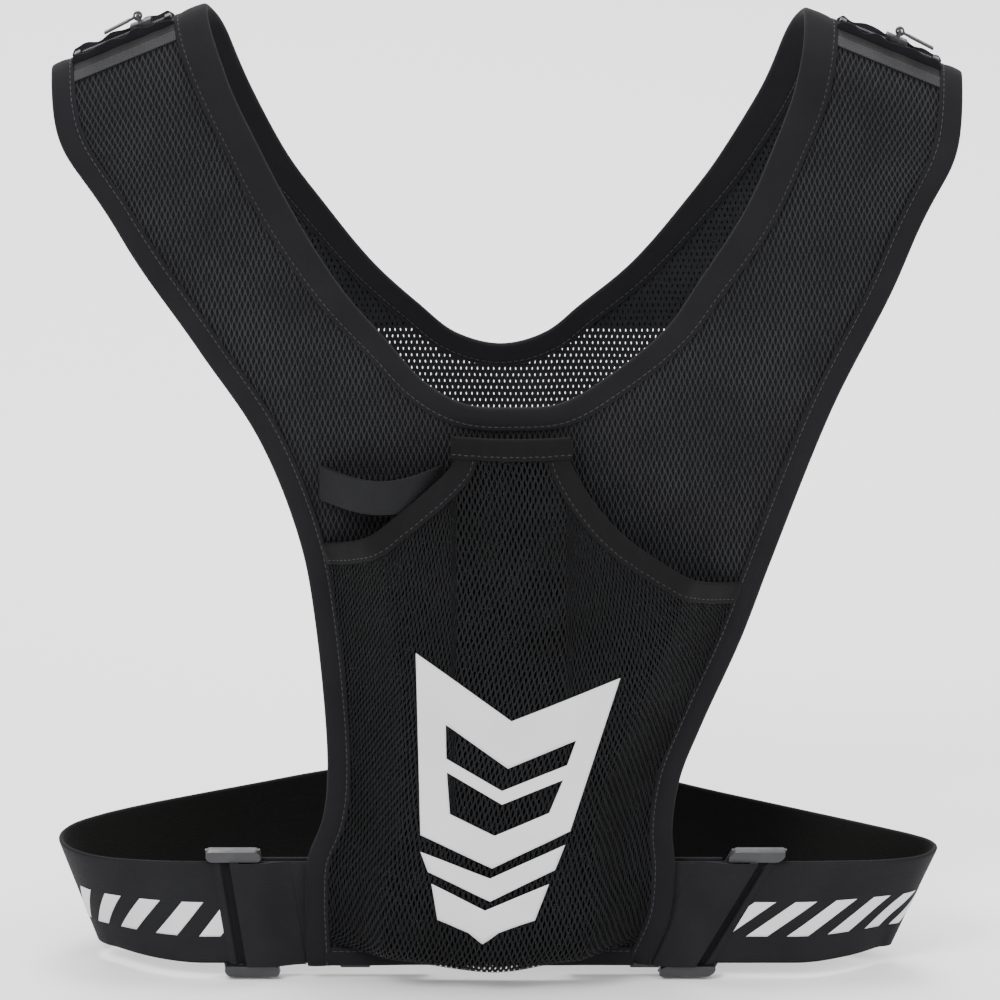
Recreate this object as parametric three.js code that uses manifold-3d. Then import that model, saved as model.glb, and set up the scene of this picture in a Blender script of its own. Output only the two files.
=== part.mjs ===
// Reflective running vest in black mesh, shaped as it sits on its wearer.
// Millimetres, +Z up. The back panel faces -Y, the wearer stands between it and the front panel.
// While building, Z = 0 is the bottom of the back pocket; the finished group is then moved so that
// its origin is the point midway between the shoulder straps, where the wearer carries the vest.
import * as THREE from "three";
import { mergeVertices } from "three/addons/utils/BufferGeometryUtils.js";
import Module from "manifold-3d";

const wasm = await Module();
wasm.setup();

// ---- Driving dimensions, mm ----

const size = {
  backY: 10, // plane of the back panel
  shoulderY: 50, // the fold over the shoulder
  shoulderZ: 390,
  shoulderSlope: 0.43, // fall of the shoulder line per mm outwards
  shoulderStart: 115, // distance from the middle where that fall begins
  seamBehindTop: 8, // the shoulder seam, measured back along the cloth from the highest line
};
const cloth = { half: 0.4, gap: 0.5, tape: 0.6 }; // panel half thickness, air, binding tape
const binding = { neck: 9.5, neckAtStrap: 13, side: 9.5, bottom: 8, inset: 3 };
const belt = {
  low: 0, high: 43, thickness: 1.8, start: 52, faceY: 11.9,
  flareStart: 66, flareRun: 48, // where round the belt its lower edge begins to draw in
  turnStart: 80, turnRun: 100, // and where the way it is drawn turns with the tip
};
const pocket = {
  depth: 24, sideRamp: 26, rimZ: 10, joinZ: 22, dip: 14.3, bottomRun: 34, lowestX: -4, droopWidth: 27,
};
const hem = { width: 9, gap: 1, tape: 0.6 };
const zip = {
  run: 18, tapeWidth: 8.4, tapeWall: 0.5, coilWidth: 3.2, coilHeight: 1.4, stop: 2.4, stopProud: 0.3,
};
const shoulderHem = { width: 4, gap: 0.6 };
const chestPocket = { swell: 8, low: 238, innerRoom: 2 };
const slider = { length: 9, wall: 0.9, clearance: 0.8, barRadius: 0.6, pullLength: 15, pullWidth: 4 };
const adjuster = {
  width: 22, bar: 3.2, barDepth: 2.2, frontDepth: 1.6, end: 4.2, endGap: 0.5, printRoom: 0.95,
};
const ring = { width: 12, height: 48, bar: 3, depth: 2.2, x: 58 };
const print = { lift: 0.7, thickness: 0.5 };

// Side profile of the whole garment, from the back hem over the shoulder to the front hem: [Y, Z].
const profilePoints = [
  [10, 0], [10, 60], [10, 120], [10, 180], [11, 240], [15, 300], [24, 350], [36, 380],
  [50, 390], [64, 382], [77, 358], [88, 330], [95, 300], [100, 270], [105, 235],
  [113, 190], [123, 140], [133, 95], [139, 60], [141, 30], [141, 2],
];

// Outlines of the panels: [distance from the middle line, height on the profile].
const outline = {
  backLeftSide: [
    [-77, 0], [-78, 28], [-77, 45], [-71, 62], [-69, 83], [-74, 146], [-80, 179],
    [-96, 221], [-120, 258], [-152, 306], [-174, 356], [-178.5, 390],
  ],
  backRightSide: [
    [60, 0], [68, 20], [70, 41], [69, 58], [72, 79], [80, 100], [96, 137],
    [108, 170], [132, 233], [160, 291], [180, 348], [184, 390],
  ],
  frontLeftSide: [
    [-170, 345], [-146, 290], [-118, 235], [-93, 180], [-74, 130], [-61, 85], [-54, 45], [-53, 2],
  ],
  frontRightSide: [
    [176, 345], [151, 290], [121, 235], [95, 180], [75, 130], [61, 85], [54, 45], [53, 2],
  ],
  backLeftNeck: [[-116.5, 390], [-109, 367], [-96, 340], [-80, 310], [-62, 282], [-45, 262], [-30, 245]],
  backNeckFloor: [[-14, 236], [6, 234.5], [24, 236]],
  backRightNeck: [[44, 248], [66, 267], [79, 286], [97, 314], [108, 338], [118, 366], [121, 390]],
  frontRightNeck: [[113, 371], [104, 345], [88, 315], [74, 294], [52, 266], [32, 248]],
  frontNeckFloor: [[18, 236], [0, 231], [-18, 236]],
  frontLeftNeck: [[-32, 248], [-50, 266], [-71, 294], [-85, 315], [-99, 345], [-108, 371]],
};

// Top edges of the two side pockets: [x, z], from the middle outwards.
const leftMouth = [[-18.5, 214.5], [-28, 205], [-40, 196], [-54, 186], [-67.5, 179.5]];
const rightMouth = [[28.5, 214.5], [36, 202], [48, 189], [64, 177.5], [80, 168], [92.5, 163]];
const centreMouth = { from: -17.5, to: 26.5, z: 224.4 };

// ---- Small helpers ----

const smooth = (t) => THREE.MathUtils.smoothstep(t, 0, 1);
function material(color, roughness, metalness = 0) {
  return new THREE.MeshStandardMaterial({ color, roughness, metalness });
}
const finish = {
  mesh: material(0x1e2021, 0.85),
  tape: material(0x2b2b30, 0.8),
  elastic: material(0x29292c, 0.9),
  reflective: material(0xd2d3d7, 0.45),
  zipTape: material(0x3a393c, 0.85),
  zipMetal: material(0xc8c8cd, 0.3, 0.9),
  plastic: material(0x46464b, 0.5),
};

const group = new THREE.Group();

function addPart(name, geometry, look) {
  const mesh = new THREE.Mesh(geometry, look);
  mesh.name = name;
  group.add(mesh);
  return mesh;
}

// ---- The garment's curved surface ----

const profile = new THREE.CatmullRomCurve3(
  profilePoints.map(([y, z]) => new THREE.Vector3(0, y, z)),
  false,
  "centripetal",
);
profile.arcLengthDivisions = 600;
const profileLength = profile.getLength();

// Length along the profile up to a height, on the back or on the front.
function lengthAt(height, onFront = false) {
  let low = onFront ? topLength : 0;
  let high = onFront ? profileLength : topLength;
  for (let step = 0; step < 40; step += 1) {
    const middle = (low + high) / 2;
    const above = profile.getPointAt(middle / profileLength).z > height;
    if (above === onFront) low = middle;
    else high = middle;
  }
  return (low + high) / 2;
}

// The highest point of the profile, found between its back and front halves.
function findTop() {
  let best = 0;
  for (let s = 0; s < profileLength; s += 0.5) {
    if (profile.getPointAt(s / profileLength).z > profile.getPointAt(best / profileLength).z) best = s;
  }
  return best;
}
const topLength = findTop();
const seamLength = topLength - size.seamBehindTop; // shoulder seam, just behind the fold
const zipEnd = seamLength + zip.run;

// A point of the garment: x across, s along the profile. The shoulders fall away outwards.
function bodyBase(x, s) {
  const point = profile.getPointAt(THREE.MathUtils.clamp(s / profileLength, 0, 1));
  const out = Math.abs(x) - size.shoulderStart;
  const fall = out < -5 ? 0 : out > 5 ? out : (out + 5) ** 2 / 20;
  const share = smooth((point.z - 300) / 85);
  return new THREE.Vector3(x, point.y, point.z - size.shoulderSlope * fall * share);
}

// The pocket's cloth lies this far off the panel where it meets the side bindings.
const pocketRest = 2 * cloth.half + hem.gap + hem.tape + 0.3;

// The pocket's surface: x across, h is its height, and below joinZ h runs round under the pocket.
function pocketBase(x, h) {
  const z = Math.max(h, pocket.rimZ);
  const s = lengthAt(z);
  const [left, right] = [pocketSide(s, -1), pocketSide(s, 1)];
  const swell = (distance) => {
    const ramp = THREE.MathUtils.clamp(distance / pocket.sideRamp, 0, 1);
    return (1 - Math.cos(Math.PI * ramp)) / 2;
  };
  const share = swell(x - left) * swell(right - x);
  const panelY = profile.getPointAt(s / profileLength).y;
  const close = 1 - 0.72 * smooth((h - 174) / 50);
  const full = pocket.depth * share * close;
  const rest = panelY - pocketRest;
  if (h >= pocket.joinZ) return new THREE.Vector3(x, rest - full, h);
  const t = THREE.MathUtils.clamp(1 - (pocket.joinZ - h) / pocket.bottomRun, 0, 1);
  const droop = 0.4 + 0.6 * Math.exp(-(((x - pocket.lowestX) / pocket.droopWidth) ** 2));
  const under = pocket.rimZ - pocket.dip * share * droop;
  const middle = 3 * t * (1 - t);
  const sink = (1 - t) ** 3 * pocket.rimZ + middle * under + t ** 3 * pocket.joinZ;
  const reach = middle * (1 - t) * 0.1 + middle * t + t ** 3;
  return new THREE.Vector3(x, rest - full * reach, sink);
}

// Lifts a pattern point off its surface, along the surface's outward direction.
function lifted(base, u, v, lift) {
  const step = 0.05;
  const across = base(u + step, v).sub(base(u - step, v));
  const along = base(u, v + step).sub(base(u, v - step));
  return base(u, v).addScaledVector(across.cross(along).normalize(), lift);
}

// ---- Edges, as polylines in pattern coordinates ----

const onBack = (points) => points.map(([x, z]) => new THREE.Vector3(x, lengthAt(z), 0));
const onFront = (points) => points.map(([x, z]) => new THREE.Vector3(x, lengthAt(z, true), 0));

// Steps along the cloth are short over the tight shoulder fold and long elsewhere.
const stepAt = (s) => (Math.abs(s - topLength) < 34 ? 4 : 16);

function smoothLine(points, closed = false) {
  const curve = new THREE.CatmullRomCurve3(points, closed, "centripetal");
  const fine = curve.getSpacedPoints(Math.round(curve.getLength()));
  const line = [];
  let since = Infinity;
  fine.forEach((p) => {
    since += 1;
    if (since < stepAt(p.y)) return;
    line.push(new THREE.Vector2(p.x, p.y));
    since = 0;
  });
  if (closed) return line;
  const end = fine[fine.length - 1];
  if (line[line.length - 1].distanceTo(end) < 3) line.pop();
  line.push(new THREE.Vector2(end.x, end.y));
  return line;
}

// Unit direction into the cloth at each point of an edge; side is +1 for the left hand of the run.
function inwardOf(line, side, closed = false) {
  const count = line.length;
  return line.map((_, i) => {
    const before = closed ? line[(i + count - 1) % count] : line[Math.max(i - 1, 0)];
    const after = closed ? line[(i + 1) % count] : line[Math.min(i + 1, count - 1)];
    const run = after.clone().sub(before).normalize();
    return new THREE.Vector2(-run.y * side, run.x * side);
  });
}

function insetLine(line, side, distance, closed = false) {
  const inward = inwardOf(line, side, closed);
  return line.map((p, i) => p.clone().addScaledVector(inward[i], distance));
}

// The other coordinate of a polyline where one coordinate has the wanted value.
function readLine(line, wanted, from, to) {
  for (let i = 1; i < line.length; i += 1) {
    const [a, b] = [line[i - 1], line[i]];
    if ((a[from] - wanted) * (b[from] - wanted) <= 0 && a[from] !== b[from]) {
      return a[to] + ((b[to] - a[to]) * (wanted - a[from])) / (b[from] - a[from]);
    }
  }
  const [first, last] = [line[0], line[line.length - 1]];
  return Math.abs(first[from] - wanted) < Math.abs(last[from] - wanted) ? first[to] : last[to];
}

const sideLine = {
  [-1]: smoothLine([...onBack(outline.backLeftSide), ...onFront(outline.frontLeftSide)]),
  [1]: smoothLine([...onBack(outline.backRightSide), ...onFront(outline.frontRightSide)]),
};
const neckLine = smoothLine(
  [
    ...onBack(outline.backLeftNeck),
    ...onBack(outline.backNeckFloor),
    ...onBack(outline.backRightNeck),
    ...onFront(outline.frontRightNeck),
    ...onFront(outline.frontNeckFloor),
    ...onFront(outline.frontLeftNeck),
  ],
  true,
);
const neckMiddle = 4; // the neck opening hangs a little to one side

// One side of the neck opening, moved into the cloth by a distance, in order along the garment.
function neckHalf(side, distance) {
  const line = insetLine(neckLine, -1, distance, true);
  return line.filter((p) => (p.x - neckMiddle) * side > 0).sort((a, b) => a.y - b.y);
}
const panelNeck = { [-1]: neckHalf(-1, binding.inset), [1]: neckHalf(1, binding.inset) };
const neckFloor = {
  back: Math.min(...panelNeck[1].map((p) => p.y), ...panelNeck[-1].map((p) => p.y)),
  front: Math.max(...panelNeck[1].map((p) => p.y), ...panelNeck[-1].map((p) => p.y)),
};
const panelSide = {
  [-1]: insetLine(sideLine[-1], -1, binding.inset),
  [1]: insetLine(sideLine[1], 1, binding.inset),
};

// Plans of the two belt halves: [distance outwards, Y], from the back panel round to the front panel.
const beltPlans = {
  left: [
    [belt.start, belt.faceY], [80, belt.faceY], [110, belt.faceY], [136, 12.2], [150, 14], [161, 17.5],
    [170, 24.5], [176, 35], [177, 47], [172, 60], [160, 72.5], [143, 85], [124, 97], [100, 111.6],
    [76, 126], [60, 133.5], [40, 137.3],
  ],
  right: [
    [belt.start, belt.faceY], [80, belt.faceY], [110, belt.faceY], [136, belt.faceY], [150, 12.2],
    [161, 14.2], [169, 18.2], [174, 24.5], [175.6, 32], [173, 39.5], [166, 46.5], [156, 53.8], [120, 79],
    [82, 106], [64, 120], [50, 131.5], [38, 137.3],
  ],
};
function beltCurve(plan) {
  const points = plan.map(([x, y]) => new THREE.Vector3(x, y, 0));
  const curve = new THREE.CatmullRomCurve3(points, false, "centripetal");
  curve.arcLengthDivisions = 400;
  return curve;
}

const neckWidthAt = (s) => {
  const rise = smooth((s - lengthAt(240)) / 90) * smooth((lengthAt(250, true) - s) / 90);
  return binding.neck + (binding.neckAtStrap - binding.neck) * rise;
};

// Where cloth laid beside the side binding or the neck binding begins.
function pocketSide(s, side) {
  return readLine(sideLine[side], s, "y", "x") - side * (binding.side + 2.2);
}
function strapInner(s, side, room = 0.6) {
  return readLine(neckHalf(side, neckWidthAt(s) + room), s, "y", "x");
}
function strapOuter(s, side) {
  return readLine(insetLine(sideLine[side], side, binding.side + 0.6), s, "y", "x");
}

// ---- Solids ----

// A closed geometry from a list of triangles, turned to face outwards.
function closedGeometry(triangles) {
  const volume = triangles.reduce((sum, [a, b, c]) => sum + a.dot(b.clone().cross(c)), 0);
  const flat = triangles.flatMap(([a, b, c]) => (volume > 0 ? [a, b, c] : [a, c, b]));
  const geometry = new THREE.BufferGeometry().setFromPoints(flat);
  geometry.computeVertexNormals();
  return geometry;
}

// Cloth between two lifts over a grid of pattern points; skip(i, j) leaves that cell open.
function clothSolid(base, rows, low, high, skip = () => false) {
  const columns = rows[0].length;
  const layer = (lift) => rows.flatMap((row) => row.map((p) => lifted(base, p.x, p.y, lift)));
  const [upper, lower] = [layer(high), layer(low)];
  const triangles = [];
  const edges = new Map();
  for (let i = 0; i < rows.length - 1; i += 1) {
    for (let j = 0; j < columns - 1; j += 1) {
      if (skip(i, j)) continue;
      const [near, far] = [i * columns + j, (i + 1) * columns + j];
      const corner = [near, near + 1, far + 1, far];
      const [a, b, c, d] = corner;
      triangles.push([upper[a], upper[b], upper[c]], [upper[a], upper[c], upper[d]]);
      triangles.push([lower[a], lower[c], lower[b]], [lower[a], lower[d], lower[c]]);
      corner.forEach((from, k) => edges.set(from + "," + corner[(k + 1) % 4], [from, corner[(k + 1) % 4]]));
    }
  }
  edges.forEach(([from, to]) => {
    if (edges.has(to + "," + from)) return;
    triangles.push([upper[to], upper[from], lower[from]], [upper[to], lower[from], lower[to]]);
  });
  return closedGeometry(triangles);
}

// Folded tape round a cloth edge: its section is a U, open towards the cloth.
function foldedTape(base, line, side, widthAt, room, tape, closed = false) {
  const [inner, outer] = [cloth.half + room, cloth.half + room + tape];
  const inward = inwardOf(line, side, closed);
  const section = (w) => {
    const halves = base === pocketBase ? [w / 2] : []; // one more step where the cloth curves across
    return [
      [w, outer], ...halves.map((a) => [a, outer]), [0, outer],
      [0, -outer], ...halves.map((a) => [a, -outer]), [w, -outer],
      [w, -inner], [tape, -inner], [tape, inner], [w, inner],
    ];
  };
  const rings = line.map((p, k) => section(widthAt(p.y)).map(([a, b]) => {
    const q = p.clone().addScaledVector(inward[k], a);
    return lifted(base, q.x, q.y, b);
  }));
  const triangles = [];
  const count = rings.length;
  for (let k = 0; k < (closed ? count : count - 1); k += 1) {
    const [near, far] = [rings[k], rings[(k + 1) % count]];
    near.forEach((a, i) => {
      const next = (i + 1) % near.length;
      triangles.push([a, near[next], far[next]], [a, far[next], far[i]]);
    });
  }
  if (!closed) {
    const flat = section(binding.side).map(([a, b]) => new THREE.Vector2(a, b));
    const turn = Math.sign(THREE.ShapeUtils.area(flat));
    THREE.ShapeUtils.triangulateShape(flat, []).forEach((face) => {
      const same = Math.sign(THREE.ShapeUtils.area(face.map((i) => flat[i]))) === turn;
      const [p, q, r] = same ? face : [...face].reverse();
      triangles.push([rings[0][r], rings[0][q], rings[0][p]]);
      triangles.push([rings[count - 1][p], rings[count - 1][q], rings[count - 1][r]]);
    });
  }
  return closedGeometry(triangles);
}

// Evenly divided pattern rows between two side functions.
function patternRows(lengths, leftAt, rightAt, columns) {
  return lengths.map((s) => {
    const [left, right] = [leftAt(s), rightAt(s)];
    const xAt = (j) => left + ((right - left) * j) / columns;
    return Array.from({ length: columns + 1 }, (_, j) => new THREE.Vector2(xAt(j), s));
  });
}

function lengthsBetween(from, to) {
  const lengths = [from];
  while (to - lengths[lengths.length - 1] > 1.4 * stepAt(lengths[lengths.length - 1])) {
    lengths.push(lengths[lengths.length - 1] + stepAt(lengths[lengths.length - 1]));
  }
  lengths.push(to);
  return lengths;
}

const manifoldOf = (geometry) => {
  const plain = geometry.index ? geometry.toNonIndexed() : geometry.clone();
  plain.deleteAttribute("normal");
  plain.deleteAttribute("uv");
  const merged = mergeVertices(plain, 1e-4);
  const { Manifold, Mesh } = wasm;
  return new Manifold(new Mesh({
    numProp: 3,
    vertProperties: merged.attributes.position.array,
    triVerts: new Uint32Array(merged.index.array),
  }));
};

function joined(...geometries) {
  const whole = geometries.map(manifoldOf).reduce((sum, next) => sum.add(next)).getMesh();
  const geometry = new THREE.BufferGeometry();
  geometry.setAttribute("position", new THREE.BufferAttribute(whole.vertProperties, 3));
  geometry.setIndex(new THREE.BufferAttribute(whole.triVerts, 1));
  return geometry.toNonIndexed();
}

// ---- Panels and their bindings ----

function addPanel(name, from, to, floor, floorIsFirst) {
  const beforeFloor = lengthsBetween(from, floor);
  const afterFloor = lengthsBetween(floor, to).slice(1);
  const nearFloor = [2, 6].map((d) => floor + (floorIsFirst ? -d : d));
  const lengths = [...beforeFloor, ...afterFloor, ...nearFloor].sort((a, b) => a - b);
  const whole = (s) => (floorIsFirst ? s >= floor : s <= floor);
  const [strap, gap] = [5, 4];
  const rows = lengths.map((s) => {
    const [left, right] = [-1, 1].map((side) => readLine(panelSide[side], s, "y", "x"));
    const neck = [-1, 1].map((side) => readLine(panelNeck[side], whole(s) ? floor : s, "y", "x"));
    const even = [left + (right - left) * 0.36, left + (right - left) * 0.64];
    const share = whole(s) ? smooth(Math.abs(s - floor) / 90) : 0;
    const [inner, outer] = neck.map((x, k) => x + (even[k] - x) * share);
    const stretch = (a, b, n) => Array.from({ length: n }, (_, j) => a + ((b - a) * j) / n);
    const xs = [
      ...stretch(left, inner, strap), ...stretch(inner, outer, gap), ...stretch(outer, right, strap), right,
    ];
    return xs.map((x) => new THREE.Vector2(x, s));
  });
  const skip = (i, j) => j >= strap && j < strap + gap && !(whole(lengths[i]) && whole(lengths[i + 1]));
  addPart(name, clothSolid(bodyBase, rows, -cloth.half, cloth.half, skip), finish.mesh);
}
addPanel("back_panel", binding.inset, seamLength - 0.3, neckFloor.back, false);
addPanel("front_panel", seamLength + 0.3, profileLength - binding.inset, neckFloor.front, true);

addPart(
  "neck_binding",
  foldedTape(bodyBase, neckLine, -1, neckWidthAt, cloth.gap, cloth.tape, true),
  finish.tape,
);
const sideWidth = () => binding.side;
addPart(
  "left_armhole_binding",
  foldedTape(bodyBase, sideLine[-1], -1, sideWidth, cloth.gap, cloth.tape),
  finish.tape,
);
addPart(
  "right_armhole_binding",
  foldedTape(bodyBase, sideLine[1], 1, sideWidth, cloth.gap, cloth.tape),
  finish.tape,
);

function addBottomBinding(name, s, side) {
  const [left, right] = [strapOuter(s, -1), strapOuter(s, 1)];
  const line = [0, 0.25, 0.5, 0.75, 1].map((t) => new THREE.Vector2(left + (right - left) * t, s));
  addPart(name, foldedTape(bodyBase, line, side, () => binding.bottom, cloth.gap, cloth.tape), finish.tape);
}
addBottomBinding("back_bottom_binding", 0, 1);
addBottomBinding("front_bottom_binding", profileLength, -1);

// ---- Back pocket: one bulging face, three bound mouths ----

const mouthLine = (points) => {
  const curve = new THREE.SplineCurve(points.map(([x, z]) => new THREE.Vector2(x, z)));
  return curve.getSpacedPoints(18);
};
const leftHemLine = mouthLine(leftMouth);
const rightHemLine = mouthLine(rightMouth);
const mouthEdge = [
  ...insetLine(leftHemLine, 1, binding.inset).reverse(),
  new THREE.Vector2(centreMouth.from + 4, centreMouth.z - binding.inset),
  new THREE.Vector2(centreMouth.to - 4, centreMouth.z - binding.inset),
  ...insetLine(rightHemLine, -1, binding.inset),
];

function addPocketFace() {
  const shares = [0, 0.02, 0.045, 0.07, 0.1, 0.13, 0.165, 0.2, 0.26, 0.33, 0.4, 0.5, 0.6];
  shares.push(0.66, 0.72, 0.78, 0.82, 0.85, 0.88, 0.91, 0.94, 0.97, 1);
  const bottom = [0, 0.12, 0.26, 0.42, 0.6, 0.8].map((t) => pocket.joinZ - pocket.bottomRun * (1 - t));
  const rise = [0, 0.2, 0.4, 0.6, 0.74, 0.79, 0.83, 0.865, 0.9, 0.935, 0.97, 1];
  const rows = [
    ...bottom.map((h) => () => h),
    ...rise.map((t) => (top) => pocket.joinZ + (top - pocket.joinZ) * t),
  ];
  const grid = rows.map((heightFrom) => shares.map((share) => {
    const reach = (s) => pocketSide(s, -1) + (pocketSide(s, 1) - pocketSide(s, -1)) * share;
    let x = reach(120);
    let h = 0;
    for (let round = 0; round < 6; round += 1) {
      h = heightFrom(readLine(mouthEdge, x, "x", "y"));
      x = reach(lengthAt(Math.max(h, pocket.rimZ)));
    }
    return new THREE.Vector2(x, h);
  }));
  addPart("pocket_face", clothSolid(pocketBase, grid, -cloth.half, cloth.half), finish.mesh);
}
addPocketFace();

const hemWidth = () => hem.width;
const addHem = (name, line, side, widthAt) => {
  addPart(name, foldedTape(pocketBase, line, side, widthAt, hem.gap, hem.tape), finish.tape);
};
addHem("left_pocket_hem", leftHemLine, 1, hemWidth);
addHem("right_pocket_hem", rightHemLine, -1, hemWidth);
const centreLine = Array.from({ length: 7 }, (_, i) => new THREE.Vector2(
  centreMouth.from + ((centreMouth.to - centreMouth.from) * i) / 6,
  centreMouth.z,
));
const centreWidth = () => hem.width - 1;
addHem("centre_pocket_hem", centreLine, -1, centreWidth);

// Elastic loop that holds a folded pole upright over the left mouth.
const loop = { from: -70, to: -25, low: 197, high: 211, reach: 16, rest: 8.3, thickness: 1.6 };
function loopBase(x, z) {
  const share = THREE.MathUtils.clamp((x - loop.from) / (loop.to - loop.from), 0, 1);
  return new THREE.Vector3(x, loop.rest - loop.reach * Math.sin(Math.PI * share), z);
}
const loopRows = [loop.low, loop.high].map((z) => Array.from({ length: 17 }, (_, i) => new THREE.Vector2(
  loop.from + ((loop.to - loop.from) * (1 - Math.cos((Math.PI * i) / 16))) / 2,
  z,
)));
addPart("pole_loop", clothSolid(loopBase, loopRows, 0, loop.thickness), finish.elastic);

// ---- Reflective prints on the pocket ----

const printY = size.backY - pocketRest - pocket.depth - print.lift;
function addPrint(name, points, windows = []) {
  const toShape = (list, Kind) => new Kind(list.map(([x, z]) => new THREE.Vector2(x, z)));
  const shape = toShape(points, THREE.Shape);
  shape.holes = windows.map((list) => toShape([...list].reverse(), THREE.Path)); // holes run the other way
  const geometry = new THREE.ExtrudeGeometry(shape, { depth: print.thickness, bevelEnabled: false });
  geometry.rotateX(Math.PI / 2);
  geometry.translate(0, printY, 0);
  addPart(name, geometry, finish.reflective);
}
addPrint(
  "chevron_shield",
  [[-33.6, 139.6], [4.6, 111], [48, 129.1], [28, 64.5], [-3.2, 49.2], [-31.8, 63.1]],
  [
    [[-21.6, 109.3], [3.2, 91], [30.4, 103], [26.8, 92.5], [0.8, 81.6], [-21.4, 95]],
    [[-21.2, 89.3], [0.8, 75.9], [25.2, 86.2], [19.6, 72.3], [-2.2, 62.8], [-20, 71.9]],
  ],
);
addPrint("chevron_middle", [[-31.8, 56], [-4, 45], [26, 58.9], [22, 48.4], [-4, 35.3], [-28.8, 47.5]]);
addPrint("chevron_tip", [[-27.4, 42.5], [-6, 31.5], [19.6, 42.5], [14, 27.2], [-7, 17], [-25, 27.2]]);

// ---- Waist belt ----

// The belt's outer face: u along it from the back panel, v up from its lower edge; round the tip the
// lower edge is drawn in, so the band leans outwards at the top.
function beltBase(side, curve, flare) {
  const length = curve.getLength();
  return (u, v) => {
    const share = THREE.MathUtils.clamp(u / length, 0, 1);
    const point = curve.getPointAt(share);
    const onset = smooth((u - belt.flareStart) / belt.flareRun);
    const lean = flare * onset * smooth((length - 30 - u) / 100);
    const low = lean * (1 - v / (belt.high - belt.low));
    const turn = Math.PI * (0.5 + 0.75 * smooth((u - belt.turnStart) / belt.turnRun));
    return new THREE.Vector3(
      side * (point.x + Math.cos(turn) * low), point.y + Math.sin(turn) * low, belt.low + v,
    );
  };
}

// Short steps round the tip of the belt, long ones elsewhere.
function bandRows(length) {
  const lengths = [0];
  for (let u = 0; u < length - 8; u = lengths[lengths.length - 1]) {
    const step = u > 108 && u < 152 ? 2 : 4;
    lengths.push(u + (u < 66 || u > 170 ? 8 : step));
  }
  lengths.push(length);
  return [0, 0.5, 1].map((t) => lengths.map((u) => new THREE.Vector2(u, t * (belt.high - belt.low))));
}

// A slanted stripe that starts at a length along its top edge.
function stripeRows(from, lowShift) {
  const levels = 4;
  const columns = 6;
  return Array.from({ length: levels + 1 }, (_, k) => Array.from({ length: columns + 1 }, (_unused, i) => {
    const t = k / levels;
    const u = from + lowShift * (1 - t) + (stripe.width * i) / columns;
    return new THREE.Vector2(u, stripe.low + (stripe.high - stripe.low) * t);
  }));
}

const sides = [
  {
    name: "left", sign: -1, flare: 16, adjusterX: 103, lean: 9,
    stripes: 5, pitch: 17.4, lowShift: 10.5, first: 49.4,
  },
  {
    name: "right", sign: 1, flare: 20, adjusterX: 89, lean: 30,
    stripes: 6, pitch: 16.4, lowShift: -20, first: 50,
  },
];
const stripe = { width: 8.6, low: 11.5, high: 26, lift: 0.35, thickness: 0.3 };
const returnEnd = 28; // distance from the middle line where the returned strap ends
const tab = { inner: 32, thickness: 1.6, gap: 0.3 };
const beltMiddle = (belt.low + belt.high) / 2;
const barY = belt.faceY + belt.thickness + 0.3; // front of the parts that lie behind the belt
const returnY = barY + adjuster.barDepth + 0.3;

function boxAt(width, depth, height, x, y, z) {
  return new THREE.BoxGeometry(width, depth, height).translate(x, y, z);
}

// A moulded slide adjuster: a centre bar before the strap and two outer bars behind it. The bars
// slant with the strap's cut ends while the end pieces stay level, so the whole is sheared along X.
function adjusterGeometry(slant) {
  const half = adjuster.width / 2;
  const inner = (belt.high - belt.low) / 2 + adjuster.endGap;
  const frontY = belt.faceY - adjuster.printRoom - adjuster.frontDepth;
  const depth = barY + adjuster.barDepth - frontY;
  const tall = 2 * (inner + adjuster.end) - 1;
  const bars = [-1, 1].map((k) => boxAt(
    adjuster.bar, adjuster.barDepth, tall, k * (half - adjuster.bar / 2), barY + adjuster.barDepth / 2, 0,
  ));
  bars.push(boxAt(adjuster.bar, adjuster.frontDepth, tall, 0, frontY + adjuster.frontDepth / 2, 0));
  const ends = [-1, 1].map((k) => {
    const shape = new THREE.Shape();
    const [w, h] = [half, adjuster.end / 2];
    shape.absarc(w - h, 0, h, -Math.PI / 2, Math.PI / 2);
    shape.absarc(h - w, 0, h, Math.PI / 2, (3 * Math.PI) / 2);
    const end = new THREE.ExtrudeGeometry(shape, { depth, bevelEnabled: false, curveSegments: 5 });
    return end.rotateX(Math.PI / 2).translate(0, frontY + depth, k * (inner + adjuster.end / 2));
  });
  return joined(...bars, ...ends).applyMatrix4(new THREE.Matrix4().makeShear(0, 0, 0, 0, slant, 0));
}

function ringGeometry() {
  const [w, h] = [ring.width / 2, ring.height / 2];
  const shape = new THREE.Shape();
  shape.moveTo(-w, -h).lineTo(w, -h).lineTo(w, h).lineTo(-w, h).closePath();
  const hole = new THREE.Path();
  const [iw, ih] = [w - ring.bar, h - ring.bar];
  hole.moveTo(-iw, -ih).lineTo(iw, -ih).lineTo(iw, ih).lineTo(-iw, ih).closePath();
  shape.holes = [hole];
  return new THREE.ExtrudeGeometry(shape, { depth: ring.depth, bevelEnabled: false }).rotateX(Math.PI / 2);
}

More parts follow.
